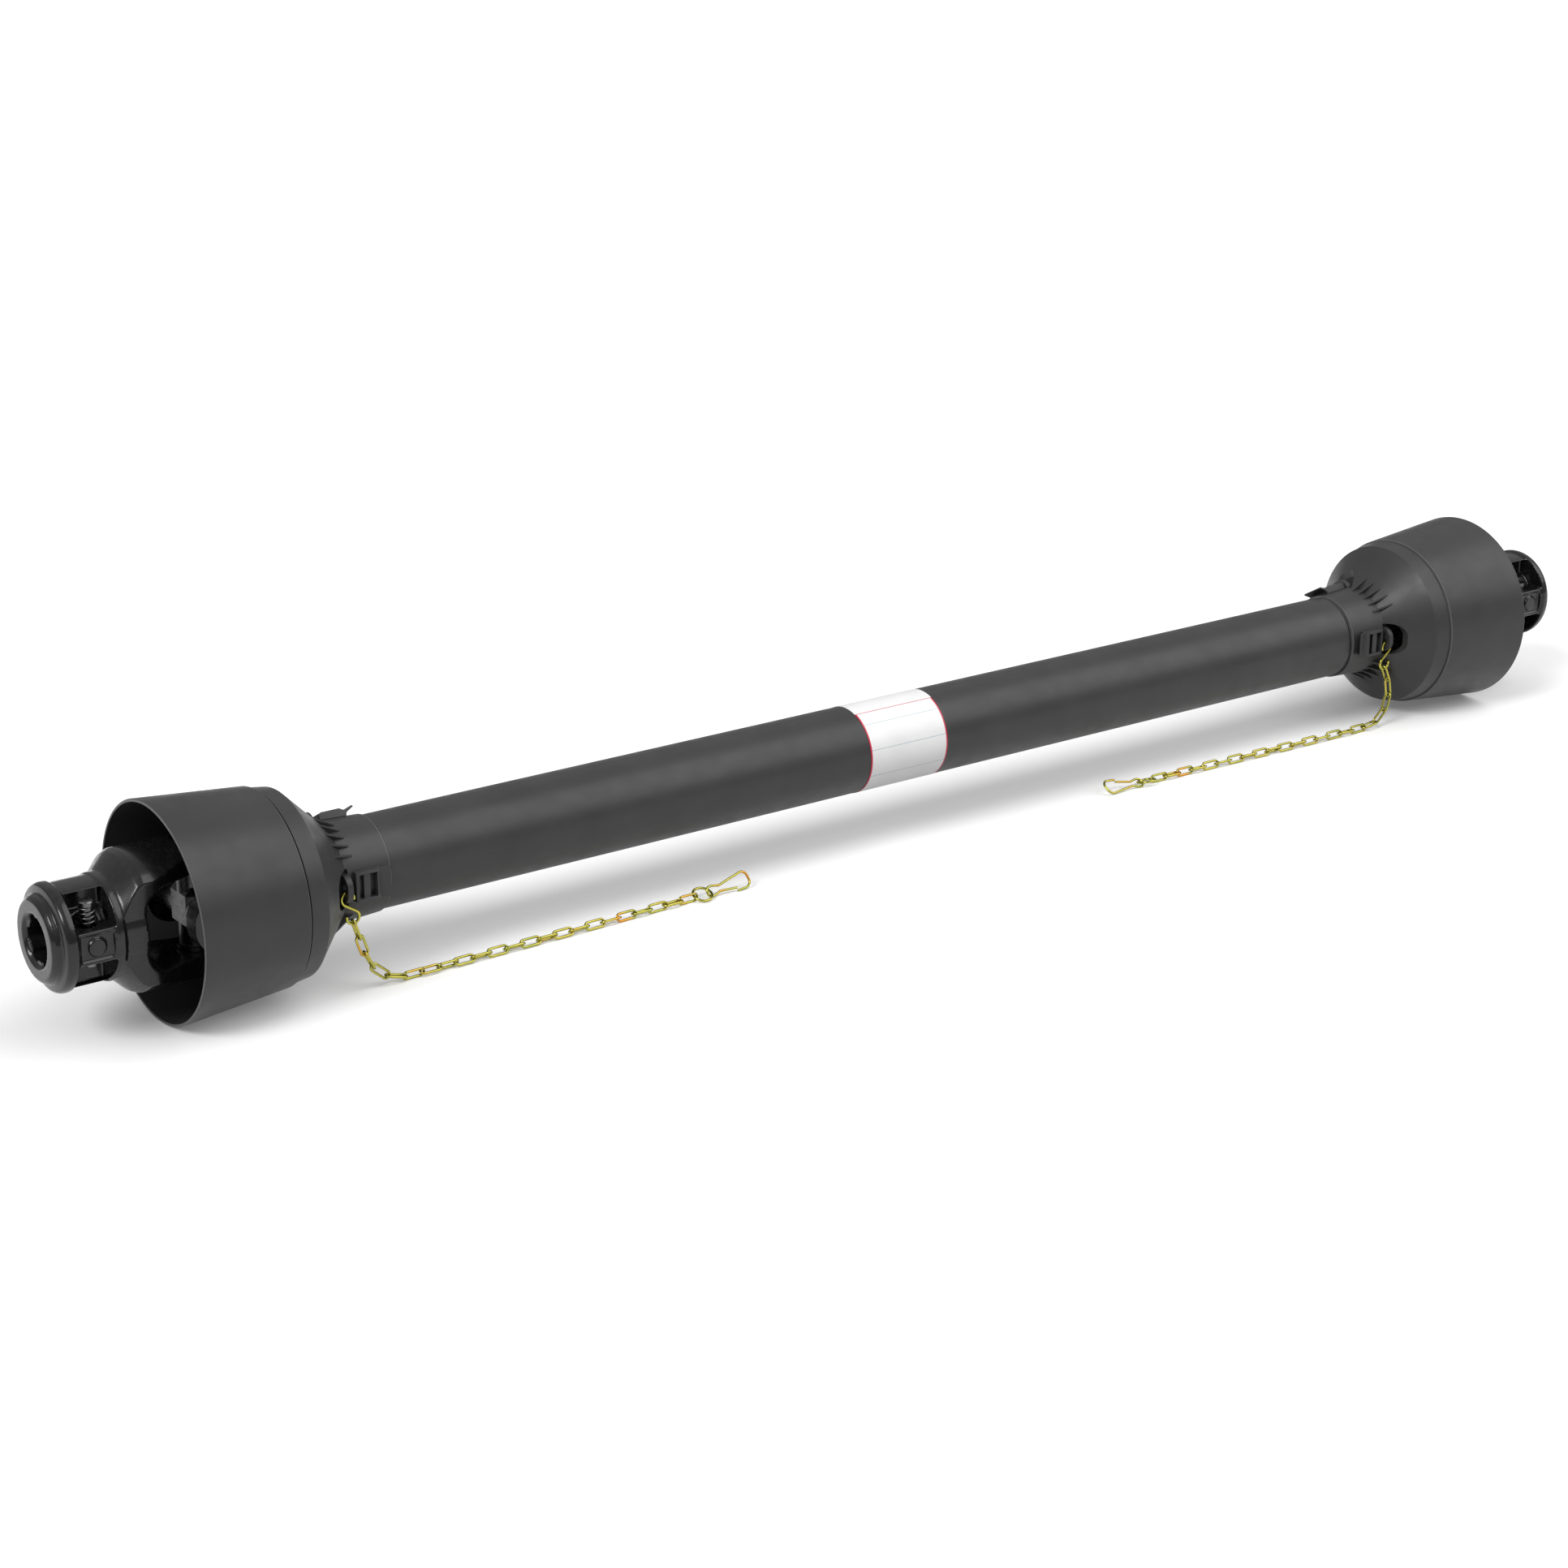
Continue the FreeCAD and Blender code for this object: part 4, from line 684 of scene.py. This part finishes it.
def s_hook_path(upper, lean, side):
    """Middle line of the S-hook: two round loops joined by a slanting strand."""
    down = turned(Z_AXIS, Y_AXIS, -lean) * -1
    along = turned(X_AXIS, Y_AXIS, -lean) * side
    lower = upper + down * (S_HOOK_HEIGHT - 2 * S_HOOK_LOOP)
    slant = math.degrees(math.asin(S_HOOK_LOOP / ((upper - lower).length / 2)))
    wire_gap = math.degrees(math.asin((2 * S_HOOK_WIRE + LOOSE_GAP) / S_HOOK_LOOP))
    opening = wire_gap * S_HOOK_OPENING
    first = along * S_HOOK_LOOP
    second = down * -S_HOOK_LOOP
    path = arc(upper, first, second, opening - slant, 180 + slant, S_HOOK_STEPS)
    return path + arc(lower, first, second, slant, opening - slant - 180, S_HOOK_STEPS)


def snap_hook_path(start, along, across):
    """Middle line of the snap hook: an eye, a neck and a long loop that latches on its own side."""
    def at(length, side):
        return start + along * length + across * side

    latch = SNAP_END - 2 * SNAP_WIRE - LOOSE_GAP
    shoulder = SNAP_EYE_LENGTH - SNAP_EYE_SLOPE
    neck = SNAP_EYE_LENGTH + SNAP_EYE_SLOPE
    return rounded([
        (at(SNAP_LENGTH - 2 * SNAP_END, -latch), 0),
        (at(neck, -SNAP_NECK), SNAP_NECK_BEND),
        (at(shoulder, -SNAP_EYE), SNAP_SHOULDER_BEND),
        (at(0, -SNAP_EYE), SNAP_EYE_BEND),
        (at(0, SNAP_EYE), SNAP_EYE_BEND),
        (at(shoulder, SNAP_EYE), SNAP_SHOULDER_BEND),
        (at(neck, SNAP_NECK), SNAP_NECK_BEND),
        (at(SNAP_LENGTH - SNAP_END_SLOPE, SNAP_END), SNAP_END_BEND),
        (at(SNAP_LENGTH, -SNAP_END), SNAP_END_BEND),
        (at(SNAP_LENGTH - 2 * SNAP_END, -SNAP_END), 0),
    ])


def sloping(along, rise, length):
    """Direction that follows along and rises by rise over length."""
    slope = math.asin(rise / length)
    return along * math.cos(slope) + Z_AXIS * math.sin(slope)


def chain_route(chain, top, upper):
    """Route of the links, from the S-hook's lower loop down to the ground and along it."""
    below = 2 * S_HOOK_LOOP - S_HOOK_HEIGHT
    lower = upper + turned(Z_AXIS, Y_AXIS, -chain["lean"]) * below
    route = [lower - Z_AXIS * (S_HOOK_LOOP - S_HOOK_WIRE - LINK_HANG_GAP)]
    foot = Vector((top.x, top.y, 0))
    route += [foot + Vector(place) * MM for place in chain["fall"]]
    route += [foot + Vector((x * MM, y * MM, LINK_HEIGHT)) for x, y in chain["ground"]]
    return route


def ring_and_snap_hook(chain, place, run):
    """Middle lines of the end ring in the last link and of the snap hook in the ring, which lie
    on the ground along the last link's run."""
    side = chain["side"]
    along = Vector((run.x, run.y, 0)).normalized()
    tilt_up = math.sin(math.radians(chain["hook_tilt"]))
    eye_height = SNAP_EYE * tilt_up + SNAP_WIRE + FLOOR_GAP
    end_height = SNAP_END * tilt_up + SNAP_WIRE + FLOOR_GAP
    eye_reach = 2 * (RING_RADIUS - RING_WIRE) - SNAP_WIRE - SNAP_RING_GAP
    ring_along = sloping(along, eye_height - place.z, eye_reach)
    ring_across = turned(Z_AXIS.cross(along), along, side * chain["ring_tilt"])
    ring_side = ring_along.cross(ring_across).normalized().cross(ring_along)
    centre = place + ring_along * (RING_RADIUS - RING_WIRE)
    ring = arc(centre, ring_along * RING_RADIUS, ring_side * RING_RADIUS, 0, 360, RING_STEPS)
    hook_along = sloping(along, end_height - eye_height, SNAP_LENGTH - 2 * SNAP_END)
    hook_across = turned(Z_AXIS.cross(along), hook_along, side * chain["hook_tilt"])
    hook = snap_hook_path(place + ring_along * eye_reach, hook_along, hook_across)
    return ring[:-1], hook


def make_chain(end):
    """S-hook, chain, end ring and snap hook of one end, in round wire."""
    chain = CHAINS[end]
    side = chain["side"]
    hanging = chain["hanging"]
    top = Vector((-S_HOOK_TOP[0] * side, S_HOOK_TOP[1], S_HOOK_TOP[2]))
    upper = top - Z_AXIS * S_HOOK_LOOP
    places = chain_nodes(chain_route(chain, top, upper), hanging + 1 + RUN_LINKS)
    twists = link_twists(places, hanging, side)
    links = [link_path(*ends) for ends in zip(places, places[1:], twists)]
    s_hook = s_hook_path(upper, chain["lean"], side)
    ring, snap_hook = ring_and_snap_hook(chain, places[-1], places[-1] - places[-2])
    pieces = {
        "s_hook": wire_piece(end + "_s_hook_wire", [s_hook], S_HOOK_WIRE, False),
        "chain_drop": wire_piece(
            end + "_chain_drop_links", links[:hanging], LINK_WIRE, True, THIN_ROUND),
        "chain_run": wire_piece(
            end + "_chain_run_links", links[hanging:], LINK_WIRE, True, THIN_ROUND),
        "end_ring": wire_piece(end + "_end_ring_wire", [ring], RING_WIRE, True),
        "snap_hook": wire_piece(end + "_snap_hook_wire", [snap_hook], SNAP_WIRE, False),
    }
    for node, piece in pieces.items():
        stands_for(piece, end + "_" + node, "yellow_zinc")


# Lock springs

def make_lock_spring(end):
    """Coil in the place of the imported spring, pressed towards the shaft's axis by the lock pin."""
    low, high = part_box(end + "_lock_spring")
    centre = (low + high) / 2
    start = Vector((centre.x, centre.y, low.z + SPRING_WIRE))
    rise = high.z - low.z - 2 * SPRING_WIRE
    count = round(SPRING_TURNS * COIL_STEPS)
    path = []
    for i in range(count + 1):
        angle = math.tau * i / COIL_STEPS
        out = Vector((math.cos(angle), math.sin(angle), 0))
        path.append(start + out * SPRING_COIL + Z_AXIS * (rise * i / count))
    coil = wire_piece(end + "_lock_spring_coil", [path], SPRING_WIRE, False, THIN_ROUND)
    stands_for(coil, end + "_lock_spring", "zinc_steel")
    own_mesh(coil)


# Room: floor, lights and camera

def make_floor():
    """Pale floor that fills the view. Only what the camera or a reflection sees is white."""
    half = FLOOR_HALF_SIZE
    mesh = bpy.data.meshes.new("floor")
    corners = [(-half, -half, 0), (half, -half, 0), (half, half, 0), (-half, half, 0)]
    mesh.from_pydata(corners, [], [(0, 1, 2, 3)])
    floor = bpy.data.objects.new("floor", mesh)
    bpy.context.scene.collection.objects.link(floor)
    surface = Nodes("floor_paper", FLOOR_SEEN)
    surface.set("Roughness", FLOOR_ROUGHNESS)
    surface.set("Specular IOR Level", 0.0)
    surface.set("Emission Color", WHITE)
    path = surface.add("ShaderNodeLightPath").outputs
    seen = surface.math("MAXIMUM", path["Is Camera Ray"], path["Is Glossy Ray"])
    seen = surface.math("MAXIMUM", seen, path["Is Transmission Ray"])
    glow = surface.math("MULTIPLY", seen, FLOOR_GLOW)
    surface.colour(surface.mix(seen, FLOOR_BOUNCE, FLOOR_SEEN))
    surface.link(glow, surface.shader.inputs["Emission Strength"])
    mesh.materials.append(surface.material)


def make_world():
    """Soft white light all round, stronger from above."""
    world = bpy.data.worlds.new("studio")
    bpy.context.scene.world = world
    world.use_nodes = True
    tree = world.node_tree
    light = tree.nodes["Background"]
    place = tree.nodes.new("ShaderNodeTexCoord")
    parts = tree.nodes.new("ShaderNodeSeparateXYZ")
    shade = tree.nodes.new("ShaderNodeMapRange")
    tree.links.new(place.outputs["Generated"], parts.inputs["Vector"])
    tree.links.new(parts.outputs["Z"], shade.inputs["Value"])
    set_range(shade, 0.0, SKY_RISE, SKY_LOW, SKY_HIGH)
    tree.links.new(shade.outputs["Result"], light.inputs["Strength"])
    light.inputs["Color"].default_value = WHITE


def make_sun(name, azimuth, elevation, strength, width):
    """Soft distant lamp: azimuth 0 is at -Y, in front of the shaft, and azimuth 90 at +X."""
    lamp = bpy.data.lights.new(name, "SUN")
    lamp.energy = strength
    lamp.angle = math.radians(width)
    sun = bpy.data.objects.new(name, lamp)
    towards = Vector((
        math.sin(math.radians(azimuth)) * math.cos(math.radians(elevation)),
        -math.cos(math.radians(azimuth)) * math.cos(math.radians(elevation)),
        math.sin(math.radians(elevation)),
    ))
    sun.rotation_euler = towards.to_track_quat("Z", "Y").to_euler()
    sun.location = towards * LAMP_DISTANCE
    bpy.context.scene.collection.objects.link(sun)


def make_camera():
    """Camera at the photograph's viewing angle."""
    camera_data = bpy.data.cameras.new("camera")
    camera_data.sensor_width = CAMERA_SENSOR
    camera_data.sensor_fit = "HORIZONTAL"
    camera_data.lens = CAMERA_LENS
    camera_data.clip_end = CAMERA_REACH
    camera = bpy.data.objects.new("camera", camera_data)
    right = CAMERA_RIGHT.normalized()
    ahead = CAMERA_AHEAD.normalized()
    turn = Matrix((right, right.cross(ahead), -ahead)).transposed()
    camera.matrix_world = Matrix.Translation(CAMERA_PLACE) @ turn.to_4x4()
    bpy.context.scene.collection.objects.link(camera)
    bpy.context.scene.camera = camera


make_camera()
finish_packed_nodes()
for shaft_end in ("near", "far"):
    make_chain(shaft_end)
    make_lock_spring(shaft_end)
    make_casting(shaft_end + "_outer_yoke", "yoke_paint")
    for shell in ("bell", "bearing_ring", "latches"):
        soften(shaft_end + "_" + shell)

make_floor()
make_world()
for lamp_name, lamp_values in LAMPS.items():
    make_sun(lamp_name, *lamp_values)
bpy.context.scene.view_settings.view_transform = "Standard"
